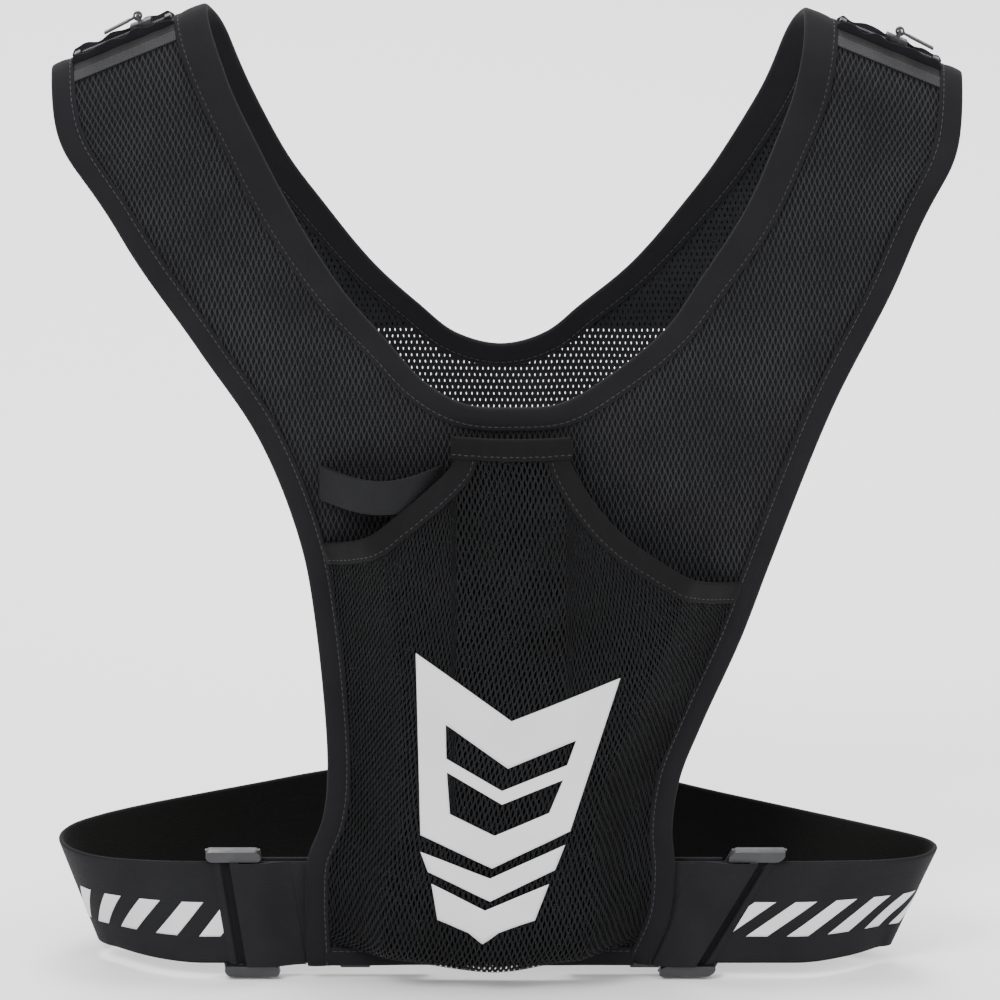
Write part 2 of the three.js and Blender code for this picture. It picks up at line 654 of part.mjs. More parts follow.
sides.forEach(({ name, sign, flare, adjusterX, lean, stripes, pitch, lowShift, first }) => {
  const curve = beltCurve(beltPlans[name]);
  const face = beltBase(sign, curve, flare);
  const height = belt.high - belt.low;
  const band = clothSolid(face, bandRows(curve.getLength()), -sign * belt.thickness, 0);
  addPart(name + "_belt", band, finish.elastic);
  for (let k = 0; k < stripes; k += 1) {
    const rows = stripeRows(first + k * pitch, lowShift);
    const solid = clothSolid(face, rows, sign * stripe.lift, sign * (stripe.lift + stripe.thickness));
    addPart(name + "_stripe_" + (k + 1), solid, finish.reflective);
  }
  const slant = sign * Math.tan(THREE.MathUtils.degToRad(lean));
  const buckle = addPart(name + "_adjuster", adjusterGeometry(slant), finish.plastic);
  buckle.position.set(sign * adjusterX, 0, beltMiddle);
  const strapAt = (from, to, thickness, tall, y) => {
    return boxAt(to - from, thickness, tall, (sign * (to + from)) / 2, y + thickness / 2, beltMiddle);
  };
  const returned = strapAt(returnEnd, adjusterX, belt.thickness, height, returnY);
  addPart(name + "_belt_return", returned, finish.elastic);
  const loopRing = addPart(name + "_belt_ring", ringGeometry(), finish.plastic);
  loopRing.position.set(sign * ring.x, barY + ring.depth, beltMiddle);
  const tabOuter = ring.x - ring.width / 2 - tab.gap;
  const tabY = barY + (ring.depth - tab.thickness) / 2;
  addPart(name + "_ring_tab", strapAt(tab.inner, tabOuter, tab.thickness, height - 2, tabY), finish.elastic);
});

// ---- Shoulder zips and the pockets they close, on the front of each strap ----

// A closed-end zip across the strap: two tapes, the coil with a stop at each end, slider and pull.
function addZip(name, sign) {
  const middle = seamLength + zip.run / 2;
  const innerX = Math.abs(strapInner(middle, sign));
  const outerX = Math.abs(strapOuter(middle, sign));
  const across = (from, to, columns) => (s) => Array.from(
    { length: columns + 1 },
    (_, j) => new THREE.Vector2(sign * (from + ((to - from) * (sign < 0 ? columns - j : j)) / columns), s),
  );
  const strip = (from, to, start, end, low, high, steps) => {
    const levels = Array.from({ length: steps + 1 }, (_, i) => start + ((end - start) * i) / steps);
    return clothSolid(bodyBase, levels.map(across(from, to, 4)), low, high);
  };
  const tapeLow = cloth.half + 0.3;
  const tapeHigh = tapeLow + zip.tapeWall;
  addPart(
    name + "_zip_tape_back",
    strip(innerX, outerX, seamLength, seamLength + zip.tapeWidth, tapeLow, tapeHigh, 3),
    finish.zipTape,
  );
  addPart(
    name + "_zip_tape_front",
    strip(innerX, outerX, zipEnd - zip.tapeWidth, zipEnd, tapeLow, tapeHigh, 3),
    finish.zipTape,
  );
  const coilLow = tapeHigh + 0.3;
  const coilHigh = coilLow + zip.coilHeight;
  const [coilFrom, coilTo] = [middle - zip.coilWidth / 2, middle + zip.coilWidth / 2];
  const coilStart = innerX + zip.stop + 0.3;
  const coilEnd = outerX - zip.stop - 0.3;
  const coil = strip(coilStart, coilEnd, coilFrom, coilTo, coilLow, coilHigh, 1);
  addPart(name + "_zip_coil", coil, finish.zipTape);
  const stopHigh = coilHigh + zip.stopProud;
  const stopStrip = (from, to) => strip(from, to, coilFrom - 0.4, coilTo + 0.4, coilLow, stopHigh, 1);
  addPart(name + "_zip_stop_inner", stopStrip(innerX, innerX + zip.stop), finish.zipMetal);
  addPart(name + "_zip_stop_outer", stopStrip(outerX - zip.stop, outerX), finish.zipMetal);

  // Local frame on the zip line: X outwards along the zip, Z off the cloth.
  const sliderX = sign * (innerX + (outerX - innerX) * (sign < 0 ? 0.3 : 0.56));
  const origin = bodyBase(sliderX, middle);
  const out = bodyBase(sliderX + sign, middle).sub(origin).normalize();
  const up = lifted(bodyBase, sliderX, middle, 1).sub(origin).normalize();
  const frame = new THREE.Matrix4().makeBasis(out, up.clone().cross(out), up).setPosition(origin);
  const halfIn = zip.coilWidth / 2 + slider.clearance;
  const halfOut = halfIn + slider.wall;
  const under = coilHigh + slider.clearance;
  const top = under + slider.wall;
  const hingeZ = top + 2.4;
  const extrudedAlong = (points, length) => {
    const shape = new THREE.Shape(points.map(([y, z]) => new THREE.Vector2(y, z)));
    const solid = new THREE.ExtrudeGeometry(shape, { depth: length, bevelEnabled: false });
    return solid.applyMatrix4(new THREE.Matrix4().makeBasis(
      new THREE.Vector3(0, 1, 0), new THREE.Vector3(0, 0, 1), new THREE.Vector3(1, 0, 0),
    )).translate(-length / 2, 0, 0);
  };
  const saddle = extrudedAlong([
    [-halfOut, coilLow], [-halfIn, coilLow], [-halfIn, under], [halfIn, under],
    [halfIn, coilLow], [halfOut, coilLow], [halfOut, top], [-halfOut, top],
  ], slider.length);
  const bar = slider.barRadius;
  const bail = extrudedAlong([
    [-2.3, top - 0.2], [-1.5, top - 0.2], [-1.5, hingeZ - bar], [1.5, hingeZ - bar],
    [1.5, top - 0.2], [2.3, top - 0.2], [2.3, hingeZ + bar], [-2.3, hingeZ + bar],
  ], 2 * bar);
  addPart(name + "_zip_slider", joined(saddle, bail), finish.zipMetal).applyMatrix4(frame);

  const eye = new THREE.Shape();
  eye.absarc(0, 0, 1.9, 0, 2 * Math.PI);
  const hole = new THREE.Path();
  hole.absarc(0, 0, 1.1, 0, 2 * Math.PI);
  eye.holes = [hole];
  const eyeSolid = new THREE.ExtrudeGeometry(eye, { depth: 2.2, bevelEnabled: false, curveSegments: 8 })
    .rotateX(Math.PI / 2).translate(0, 1.1, 0);
  const neck = boxAt(3, 2.2, 0.9, 3, 0, 0);
  const tipLength = slider.pullLength - 4;
  const tip = boxAt(tipLength, slider.pullWidth, 0.9, 4 + tipLength / 2, 0, 0);
  const pull = joined(eyeSolid, neck, tip).rotateY(THREE.MathUtils.degToRad(5)).translate(0, 0, hingeZ);
  addPart(name + "_zip_pull", pull, finish.zipMetal).applyMatrix4(frame);

  const hemEnd = seamLength - shoulderHem.gap;
  addPart(
    name + "_shoulder_hem",
    strip(innerX, outerX, hemEnd - shoulderHem.width, hemEnd, tapeLow, tapeHigh + 0.1, 2),
    finish.zipTape,
  );
  addChestPocket(name, sign);
}

// The zipped pocket: a face that swells off the front of the strap.
function addChestPocket(name, sign) {
  const end = lengthAt(chestPocket.low, true);
  const start = zipEnd + 0.4;
  const swollen = (x, s) => {
    const [inner, outer] = [strapInner(s, sign, chestPocket.innerRoom), strapOuter(s, sign)];
    const across = THREE.MathUtils.clamp((x - inner) / (outer - inner), 0, 1);
    const along = THREE.MathUtils.clamp((s - start) / (end - start), 0, 1);
    const share = (1 - (2 * across - 1) ** 4) * smooth(along * 4) * smooth((1 - along) * 4);
    return lifted(bodyBase, x, s, cloth.half + 0.7 + chestPocket.swell * share);
  };
  const leftAt = (s) => (sign < 0 ? strapOuter(s, sign) : strapInner(s, sign, chestPocket.innerRoom));
  const rightAt = (s) => (sign < 0 ? strapInner(s, sign, chestPocket.innerRoom) : strapOuter(s, sign));
  const rows = patternRows(lengthsBetween(start, end), leftAt, rightAt, 8);
  addPart(name + "_chest_pocket", clothSolid(swollen, rows, -cloth.half, cloth.half), finish.mesh);
}
addZip("left", -1);
addZip("right", 1);

group.position.set(0, -size.shoulderY, -size.shoulderZ);

export default group;
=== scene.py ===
import math
import bmesh
import bpy
import numpy as np
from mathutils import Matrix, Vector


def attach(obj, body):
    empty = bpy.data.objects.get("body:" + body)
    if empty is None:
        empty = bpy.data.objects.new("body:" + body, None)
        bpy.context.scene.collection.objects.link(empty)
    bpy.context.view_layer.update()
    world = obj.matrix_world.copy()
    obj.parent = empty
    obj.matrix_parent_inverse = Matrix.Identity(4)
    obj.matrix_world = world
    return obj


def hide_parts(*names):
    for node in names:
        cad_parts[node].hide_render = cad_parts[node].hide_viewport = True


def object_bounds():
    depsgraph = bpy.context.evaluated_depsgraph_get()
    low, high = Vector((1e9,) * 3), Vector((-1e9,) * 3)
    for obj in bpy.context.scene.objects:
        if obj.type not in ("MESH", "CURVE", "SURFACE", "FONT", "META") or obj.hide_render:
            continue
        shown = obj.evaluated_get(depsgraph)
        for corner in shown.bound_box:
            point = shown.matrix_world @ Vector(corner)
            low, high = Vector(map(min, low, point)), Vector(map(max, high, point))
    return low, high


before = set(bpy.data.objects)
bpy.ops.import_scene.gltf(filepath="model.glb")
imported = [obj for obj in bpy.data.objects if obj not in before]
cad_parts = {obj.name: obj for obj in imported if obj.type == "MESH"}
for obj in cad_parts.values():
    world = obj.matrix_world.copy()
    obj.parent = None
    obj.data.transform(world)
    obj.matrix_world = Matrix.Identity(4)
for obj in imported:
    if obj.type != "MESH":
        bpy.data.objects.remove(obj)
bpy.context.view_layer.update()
print("frame loaded:", len(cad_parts), "nodes")

# Shapes are worked out in millimetres with Z = 0 at the bottom of the back pocket, and X across,
# Y towards the wearer. toMetres takes them to the frame, whose origin lies between the shoulders.
garment = {"shoulderY": 50, "shoulderZ": 390, "slope": 0.43, "slopeStart": 115, "slopeBend": 5,
           "slopeLow": 300, "slopeRise": 85, "seamBehindTop": 8, "edgeStep": 2.6}


def toMetres(points):
    shift = np.array([0, garment["shoulderY"], garment["shoulderZ"]])
    return (np.asarray(points, float) - shift) / 1000


def addObject(name, data):
    made = bpy.data.objects.new(name, data)
    bpy.context.scene.collection.objects.link(made)
    return made


# camera and light

studio = {"lens": 1200, "sensor": 36, "width": 0.4, "azimuth": 0, "elevation": 18, "aimY": 0.0,
          "aimZ": -0.2071, "middle": (0, 0.02, -0.2), "sky": 1.3, "floor": (0.95, 0.95, 0.95),
          "floorHalf": 30, "floorDrop": 0.0015}
lamps = {
    "key": {"place": (-0.9, -1.5, 1.3), "size": 0.9, "power": 36},
    "fill": {"place": (1.3, -1.2, 0.5), "size": 0.8, "power": 9},
    "top": {"place": (0.1, 0.5, 1.6), "size": 1.0, "power": 38},
    "rear": {"place": (-0.4, 1.6, 0.9), "size": 1.0, "power": 12},
}


def addCamera():
    data = bpy.data.cameras.new("camera")
    data.lens = studio["lens"]
    data.sensor_width = studio["sensor"]
    data.clip_end = 100
    camera = addObject("camera", data)
    away = studio["width"] * data.lens / data.sensor_width
    tilt = math.radians(studio["elevation"])
    turn = math.radians(studio["azimuth"])
    back = np.array([math.sin(turn) * math.cos(tilt), -math.cos(turn) * math.cos(tilt), math.sin(tilt)])
    camera.location = np.array([0, studio["aimY"], studio["aimZ"]]) + back * away
    camera.rotation_euler = (math.pi / 2 - tilt, 0, turn)
    bpy.context.scene.camera = camera


def addLamp(name, place, size, power):
    # a disk that faces the middle of the garment
    data = bpy.data.lights.new(name, "AREA")
    data.shape = "DISK"
    data.size = size
    data.energy = power
    lamp = addObject(name, data)
    lamp.location = place
    away = np.subtract(studio["middle"], place)
    lamp.rotation_euler = (math.atan2(np.hypot(away[0], away[1]), -away[2]), 0,
                           math.atan2(away[1], away[0]) - math.pi / 2)


def addStudio():
    for name, values in lamps.items():
        addLamp(name, **values)
    world = bpy.data.worlds.new("studio")
    bpy.context.scene.world = world
    world.use_nodes = True
    sky = world.node_tree.nodes["Background"]
    sky.inputs["Color"].default_value = (1, 1, 1, 1)
    sky.inputs["Strength"].default_value = studio["sky"]


addCamera()
addStudio()


# materials

def startMaterial(name, color, roughness, **finish):
    material = bpy.data.materials.new(name)
    material.use_nodes = True
    shader = material.node_tree.nodes["Principled BSDF"]
    shader.inputs["Base Color"].default_value = (*color, 1)
    shader.inputs["Roughness"].default_value = roughness
    for socket, value in finish.items():
        shader.inputs[socket.replace("_", " ")].default_value = value
    return material, material.node_tree, shader


def feed(tree, socket, value):
    if isinstance(value, bpy.types.NodeSocket):
        tree.links.new(value, socket)
    else:
        socket.default_value = value


def maths(tree, operation, *values):
    made = tree.nodes.new("ShaderNodeMath")
    made.operation = operation
    for socket, value in zip(made.inputs, values):
        feed(tree, socket, value)
    return made.outputs[0]


def between(tree, value, low, high, toLow=0.0, toHigh=1.0):
    made = tree.nodes.new("ShaderNodeMapRange")
    made.interpolation_type = "SMOOTHSTEP"
    for socket, number in zip(made.inputs, (value, low, high, toLow, toHigh)):
        feed(tree, socket, number)
    return made.outputs[0]


def noise(tree, place, scale, detail=2.0, roughness=0.5):
    made = tree.nodes.new("ShaderNodeTexNoise")
    feed(tree, made.inputs["Vector"], place)
    made.inputs["Scale"].default_value = scale
    made.inputs["Detail"].default_value = detail
    made.inputs["Roughness"].default_value = roughness
    return made.outputs[0]


def blendColors(tree, share, first, second):
    made = tree.nodes.new("ShaderNodeMix")
    made.data_type = "RGBA"
    feed(tree, made.inputs[0], share)
    for socket, color in ((made.inputs[6], first), (made.inputs[7], second)):
        feed(tree, socket, color if isinstance(color, bpy.types.NodeSocket) else (*color, 1))
    return made.outputs[2]


def shades(color, dark, pale):
    return [dark * c for c in color], [pale * c for c in color]


def raiseSurface(tree, shader, height, distance, strength=1.0):
    made = tree.nodes.new("ShaderNodeBump")
    made.inputs["Strength"].default_value = strength
    made.inputs["Distance"].default_value = distance
    feed(tree, made.inputs["Height"], height)
    tree.links.new(made.outputs[0], shader.inputs["Normal"])


def clothPlace(tree):
    # the two lengths on the cloth, in millimetres, and the place in space for slow changes
    layout = tree.nodes.new("ShaderNodeUVMap")
    layout.uv_map = "cloth"
    apart = tree.nodes.new("ShaderNodeSeparateXYZ")
    tree.links.new(layout.outputs[0], apart.inputs[0])
    space = tree.nodes.new("ShaderNodeTexCoord").outputs["Object"]
    return apart.outputs[0], apart.outputs[1], space


meshCloth = {"across": 2.2, "along": 5.7, "bend": 1.6, "wander": 0.5, "loop": 0.62}
meshKinds = {
    # the lined kind's hole colour is the black backing fabric, painted far darker for the shade in the recess
    # under the mesh
    "lined": {"holeWidth": 0.62, "holeLength": 2.2, "yarn": (0.0172, 0.0176, 0.0196),
              "shadedLining": (0.0014, 0.0014, 0.0016)},
    "open": {"holeWidth": 0.5, "holeLength": 1.95, "yarn": (0.0064, 0.0066, 0.0073), "shadedLining": None},
    "front": {"holeWidth": 0.27, "holeLength": 0.95, "yarn": (0.011, 0.0114, 0.0124), "shadedLining": None},
}


def makeMeshCloth(name, holeWidth, holeLength, yarn, shadedLining):
    # two staggered sets of lens-shaped holes: |u| / halfWidth + (|v| / halfLength) ^ bend < 1
    material, tree, shader = startMaterial(name, yarn, 0.72, Specular_IOR_Level=0.1)
    u, v, space = clothPlace(tree)
    wander = noise(tree, space, 260, 1.0)
    u = maths(tree, "MULTIPLY_ADD", wander, meshCloth["wander"], u)
    fields = []
    for shift in (0.0, 0.5):
        a = maths(tree, "PINGPONG", maths(tree, "MULTIPLY_ADD", u, 1 / meshCloth["across"], shift), 0.5)
        b = maths(tree, "PINGPONG", maths(tree, "MULTIPLY_ADD", v, 1 / meshCloth["along"], shift), 0.5)
        a = maths(tree, "MULTIPLY", a, meshCloth["across"] / holeWidth)
        b = maths(tree, "MULTIPLY", b, meshCloth["along"] / holeLength)
        fields.append(maths(tree, "ADD", a, maths(tree, "POWER", b, meshCloth["bend"])))
    field = maths(tree, "MINIMUM", *fields)
    thread = between(tree, field, 0.78, 1.06)
    loops = maths(tree, "SINE", maths(tree, "MULTIPLY", v, 2 * math.pi / meshCloth["loop"]))
    height = maths(tree, "ADD", between(tree, field, 0.7, 1.5), maths(tree, "MULTIPLY", loops, 0.12))
    raiseSurface(tree, shader, height, 0.00035, 0.9)
    patchy = noise(tree, space, 38, 3.0)
    fibre = noise(tree, space, 1500, 2.0)
    tone = maths(tree, "MULTIPLY_ADD", patchy, 0.5, maths(tree, "MULTIPLY", fibre, 0.9))
    lit = blendColors(tree, between(tree, tone, 0.45, 0.95), *shades(yarn, 0.62, 1.45))
    # with a lining the holes take its colour: black backing fabric plus painted shade in the recess under the
    # mesh
    if shadedLining:
        tree.links.new(blendColors(tree, thread, shadedLining, lit), shader.inputs["Base Color"])
    else:
        tree.links.new(lit, shader.inputs["Base Color"])
        tree.links.new(thread, shader.inputs["Alpha"])
    tree.links.new(between(tree, fibre, 0.2, 0.9, 0.62, 0.85), shader.inputs["Roughness"])
    return material


def makeTape(name, color, pitch, slant=0.5, sheen=0.03, turnDark=None):
    # fine twill: ridges a pitch apart that run at a slant over the tape, crossed by the weft
    material, tree, shader = startMaterial(name, color, 0.8, Specular_IOR_Level=0.12, Sheen_Weight=sheen)
    shader.inputs["Sheen Roughness"].default_value = 0.45
    u, v, space = clothPlace(tree)
    lean = maths(tree, "MULTIPLY_ADD", u, slant, v)
    ridge = maths(tree, "PINGPONG", maths(tree, "DIVIDE", lean, pitch), 0.5)
    weft = maths(tree, "PINGPONG", maths(tree, "DIVIDE", u, pitch * 0.8), 0.5)
    height = maths(tree, "MULTIPLY_ADD", weft, 0.9, ridge)
    fibre = noise(tree, space, 1800, 2.0)
    patchy = noise(tree, space, 45, 3.0)
    raiseSurface(tree, shader, maths(tree, "MULTIPLY_ADD", fibre, 0.5, height), 0.00016, 0.8)
    tone = maths(tree, "ADD", maths(tree, "MULTIPLY", height, 0.4), maths(tree, "MULTIPLY", fibre, 0.5))
    tone = maths(tree, "MULTIPLY_ADD", patchy, 0.5, tone)
    shade = blendColors(tree, between(tree, tone, 0.35, 1.15), *shades(color, 0.6, 1.4))
    if turnDark:  # the inner face of a band is darker past this width
        inside = between(tree, v, turnDark[0], turnDark[0] + 0.6)
        shade = blendColors(tree, inside, shade, turnDark[1])
    tree.links.new(shade, shader.inputs["Base Color"])
    tree.links.new(between(tree, fibre, 0.2, 0.9, 0.7, 0.92), shader.inputs["Roughness"])
    return material


def makeReflective():
    # glass beads in a pale grey film: tiny cells that catch the light one by one
    material, tree, shader = startMaterial("reflectiveFilm", (0.6, 0.6, 0.62), 0.5, Specular_IOR_Level=0.5)
    _, _, space = clothPlace(tree)
    beads = tree.nodes.new("ShaderNodeTexVoronoi")
    beads.inputs["Scale"].default_value = 4200
    tree.links.new(space, beads.inputs["Vector"])
    patchy = noise(tree, space, 30, 2.0)
    tone = maths(tree, "MULTIPLY_ADD", beads.outputs["Distance"], 0.5, patchy)
    shade = blendColors(tree, between(tree, tone, 0.3, 1.2), (0.6, 0.6, 0.622), (0.52, 0.52, 0.542))
    tree.links.new(shade, shader.inputs["Base Color"])
    tree.links.new(between(tree, patchy, 0.3, 0.7, 0.42, 0.58), shader.inputs["Roughness"])
    raiseSurface(tree, shader, beads.outputs["Distance"], 0.00004, 0.5)
    return material


finishes = {
    # satin moulded acetal, rubbed paler in patches, with a fine spark-eroded grain
    "plastic": {"name": "mouldedPlastic", "color": (0.055, 0.056, 0.062), "roughness": 0.42,
                "rub": (140, 4.0, 0.65), "mix": (0.4, 0.75), "gloss": (0.3, 0.75, 0.34, 0.55),
                "tones": ((0.014, 0.0142, 0.016), (0.026, 0.0265, 0.029)),
                "grain": (2600, 3.0, 0.6), "bump": (0.00005, 0.6)},
    # black enamel over metal, rubbed thin in places
    "enamel": {"name": "blackEnamel", "color": (0.012, 0.012, 0.014), "roughness": 0.32,
               "rub": (700, 4.0, 0.65), "mix": (0.6, 0.75), "gloss": (0.3, 0.7, 0.28, 0.5),
               "tones": ((0.011, 0.011, 0.013), (0.09, 0.088, 0.085)), "bump": (0.00004, 0.4)},
    # spun thread with a fibrous skin
    "thread": {"name": "sewingThread", "color": (0.02, 0.02, 0.022), "roughness": 0.6, "sheen": 0.2,
               "rub": (3000, 1.0), "mix": (0.35, 0.7),
               "tones": ((0.006, 0.006, 0.007), (0.014, 0.014, 0.016)), "bump": (0.0001, 0.6)},
}


def makeRubbed(name, color, roughness, rub, mix, tones, bump, gloss=None, grain=None, sheen=0.0):
    # one noise mixes the two tones and sets the gloss; the bump is a finer grain, or that same noise
    material, tree, shader = startMaterial(name, color, roughness, Sheen_Weight=sheen)
    space = tree.nodes.new("ShaderNodeTexCoord").outputs["Object"]
    wear = noise(tree, space, *rub)
    tree.links.new(blendColors(tree, between(tree, wear, *mix), *tones), shader.inputs["Base Color"])
    if gloss:
        tree.links.new(between(tree, wear, *gloss), shader.inputs["Roughness"])
    raiseSurface(tree, shader, noise(tree, space, *grain) if grain else wear, *bump)
    return material


looks = {
    **{kind: makeMeshCloth(kind + "Mesh", **values) for kind, values in meshKinds.items()},
    "tape": makeTape("foldedTape", (0.0068, 0.0066, 0.0084), 0.55),
    "hem": makeTape("hemTape", (0.0036, 0.0036, 0.0042), 0.55),
    "elastic": makeTape("beltElastic", (0.0098, 0.0098, 0.0114), 0.95, 0.0, 0.02,
                        turnDark=(43.6, (0.003, 0.003, 0.0027))),
    "grosgrain": makeTape("grosgrain", (0.034, 0.033, 0.035), 0.9, 0.0),
    "zipTape": makeTape("zipTape", (0.026, 0.0245, 0.0255), 0.6, 1.0),
    "flap": makeTape("gatheredTape", (0.006, 0.006, 0.008), 0.5),
    "coil": startMaterial("nylonCoil", (0.012, 0.012, 0.014), 0.45)[0],
    "film": makeReflective(),
    **{finish: makeRubbed(**values) for finish, values in finishes.items()},
}
print("materials made:", len(looks))


# meshes

def facesOut(points, quads):
    # positive volume means that the faces already point outwards
    a, b, c, d = (points[quads[:, k]] for k in range(4))
    volume = (a * np.cross(b, c)).sum() + (a * np.cross(c, d)).sum()
    return quads if volume > 0 else quads[:, ::-1]


def gridCells(rows, columns, closedRows=False, closedColumns=False, hole=None):
    # the four corners of each cell of a grid; hole is true for the cells that stay open
    i, j = np.meshgrid(np.arange(rows - (not closedRows)), np.arange(columns - (not closedColumns)),
                       indexing="ij")
    if hole is not None:
        i, j = i[~hole], j[~hole]
    i, j = i.ravel(), j.ravel()
    corners = ((i, j), (i, j + 1), (i + 1, j + 1), (i + 1, j))
    quads = np.stack([(a % rows) * columns + b % columns for a, b in corners], 1)
    wide = columns + closedColumns
    return quads, np.stack([a * wide + b for a, b in corners], 1)


def addPiece(name, points, quads, layout, layoutQuads, look, slot, body="garment", stands=()):
    # layout holds the cloth lengths, in millimetres, that the material reads
    mesh = bpy.data.meshes.new(name)
    mesh.from_pydata(toMetres(points).tolist(), [], quads.tolist())
    uv = mesh.uv_layers.new(name="cloth")
    uv.data.foreach_set("uv", np.asarray(layout, float)[layoutQuads.ravel()].ravel())
    mesh.polygons.foreach_set("use_smooth", np.ones(len(quads), bool))
    mesh.materials.append(looks[look])
    mesh.update()
    piece = addObject(name, mesh)
    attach(piece, body)
    if stands:
        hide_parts(*stands)
    return piece


def thicken(piece, thickness, offset=0.0):
    wall = piece.modifiers.new("wall", "SOLIDIFY")
    wall.thickness = thickness / 1000
    wall.offset = offset
    return piece


def soften(piece, width, steps=2):
    edge = piece.modifiers.new("edge", "BEVEL")
    edge.width = width / 1000
    edge.segments = steps
    edge.limit_method = "ANGLE"
    edge.angle_limit = math.radians(40)
    return piece


def addSheet(name, points, layout, look, slot, wall, hole=None, **more):
    # an open grid of points given a wall
    rows, columns = points.shape[:2]
    quads, layoutQuads = gridCells(rows, columns, hole=hole)
    flat = points.reshape(-1, 3)
    used, quads = np.unique(quads, return_inverse=True)
    piece = addPiece(name, flat[used], quads.reshape(-1, 4), layout.reshape(-1, 2), layoutQuads, look,
                     slot, **more)
    return thicken(piece, wall)


def addPlate(name, upper, lower, layout, look, slot, **more):
    # a closed plate between two grids of the same size, with a rim round its edge
    rows, columns = upper.shape[:2]
    count = rows * columns
    top, _ = gridCells(rows, columns)
    number = np.arange(count).reshape(rows, columns)
    edge = np.concatenate([number[0], number[1:, -1], number[-1, -2::-1], number[-2:0:-1, 0]])
    after = np.roll(edge, -1)
    rim = np.stack([after, edge, edge + count, after + count], 1)
    quads = np.concatenate([top, top[:, ::-1] + count, rim])
    points = np.concatenate([upper.reshape(-1, 3), lower.reshape(-1, 3)])
    quads = facesOut(points, quads)
    both = np.concatenate([layout.reshape(-1, 2)] * 2)
    return addPiece(name, points, quads, both, quads, look, slot, **more)


def addTube(name, rings, layout, look, slot, closed=False, **more):
    # rings of points round a path; open ends are shut by a fan round each end's middle
    rows, columns = rings.shape[:2]
    quads, layoutQuads = gridCells(rows, columns, closed, True)
    points = rings.reshape(-1, 3)
    layout = layout.reshape(-1, 2)
    if not closed:
        middles = rings[[0, -1]].mean(1)
        first, last = rows * columns, rows * columns + 1
        j = np.arange(0, columns - 1, 2)
        near = np.stack([np.full_like(j, first), (j + 2) % columns, j + 1, j], 1)
        base = (rows - 1) * columns
        far = np.stack([np.full_like(j, last), base + j, base + j + 1, base + (j + 2) % columns], 1)
        points = np.concatenate([points, middles])
        ends = np.concatenate([near, far])
        quads = np.concatenate([quads, ends])
        layoutQuads = np.concatenate([layoutQuads, np.minimum(ends, len(layout) - 1)])
    if facesOut(points, quads) is not quads:
        quads, layoutQuads = quads[:, ::-1], layoutQuads[:, ::-1]
    return addPiece(name, points, quads, layout, layoutQuads, look, slot, **more)


# curves

def smooth(t):
    t = np.clip(t, 0, 1)
    return t * t * (3 - 2 * t)


def unit(vectors):
    return vectors / np.linalg.norm(vectors, axis=-1, keepdims=True)


def throughPoints(points, closed=False, perSpan=40):
    # centripetal Catmull-Rom: knots the root of a chord apart, one cubic for each span
    points = np.asarray(points, float)
    if closed:
        ring = np.vstack([points[-1:], points, points[:2]])
    else:
        ring = np.vstack([2 * points[0] - points[1], points, 2 * points[-1] - points[-2]])
    p0, p1, p2, p3 = ring[:-3], ring[1:-2], ring[2:-1], ring[3:]
    d0, d1, d2 = (np.linalg.norm(b - a, axis=1)[:, None] ** 0.5 for a, b in ((p0, p1), (p1, p2), (p2, p3)))
    m1 = ((p1 - p0) / d0 - (p2 - p0) / (d0 + d1) + (p2 - p1) / d1) * d1
    m2 = ((p2 - p1) / d1 - (p3 - p1) / (d1 + d2) + (p3 - p2) / d2) * d1
    t = np.linspace(0, 1, perSpan, endpoint=False)[None, :, None]
    p1, p2, m1, m2 = (x[:, None, :] for x in (p1, p2, m1, m2))
    fine = (2 * t**3 - 3 * t**2 + 1) * p1 + (t**3 - 2 * t**2 + t) * m1
    fine = (fine + (3 * t**2 - 2 * t**3) * p2 + (t**3 - t**2) * m2).reshape(-1, points.shape[1])
    return np.vstack([fine, fine[:1] if closed else points[-1:]])


def lengthsOf(line):
    return np.concatenate([[0], np.cumsum(np.linalg.norm(np.diff(line, axis=0), axis=1))])


def evenly(line, step):
    # the same line with points a step apart
    lengths = lengthsOf(line)
    wanted = np.linspace(0, lengths[-1], max(2, round(lengths[-1] / step) + 1))
    return np.stack([np.interp(wanted, lengths, line[:, k]) for k in range(line.shape[1])], 1)


def inwardOf(line, side, closed=False):
    # unit direction into the cloth; side is +1 for the left hand of the run
    if closed:
        run = np.roll(line, -1, axis=0) - np.roll(line, 1, axis=0)
    else:
        run = np.gradient(line, axis=0)
    run = unit(run)
    return np.stack([-run[:, 1] * side, run[:, 0] * side], 1)


# the garment's curved surface

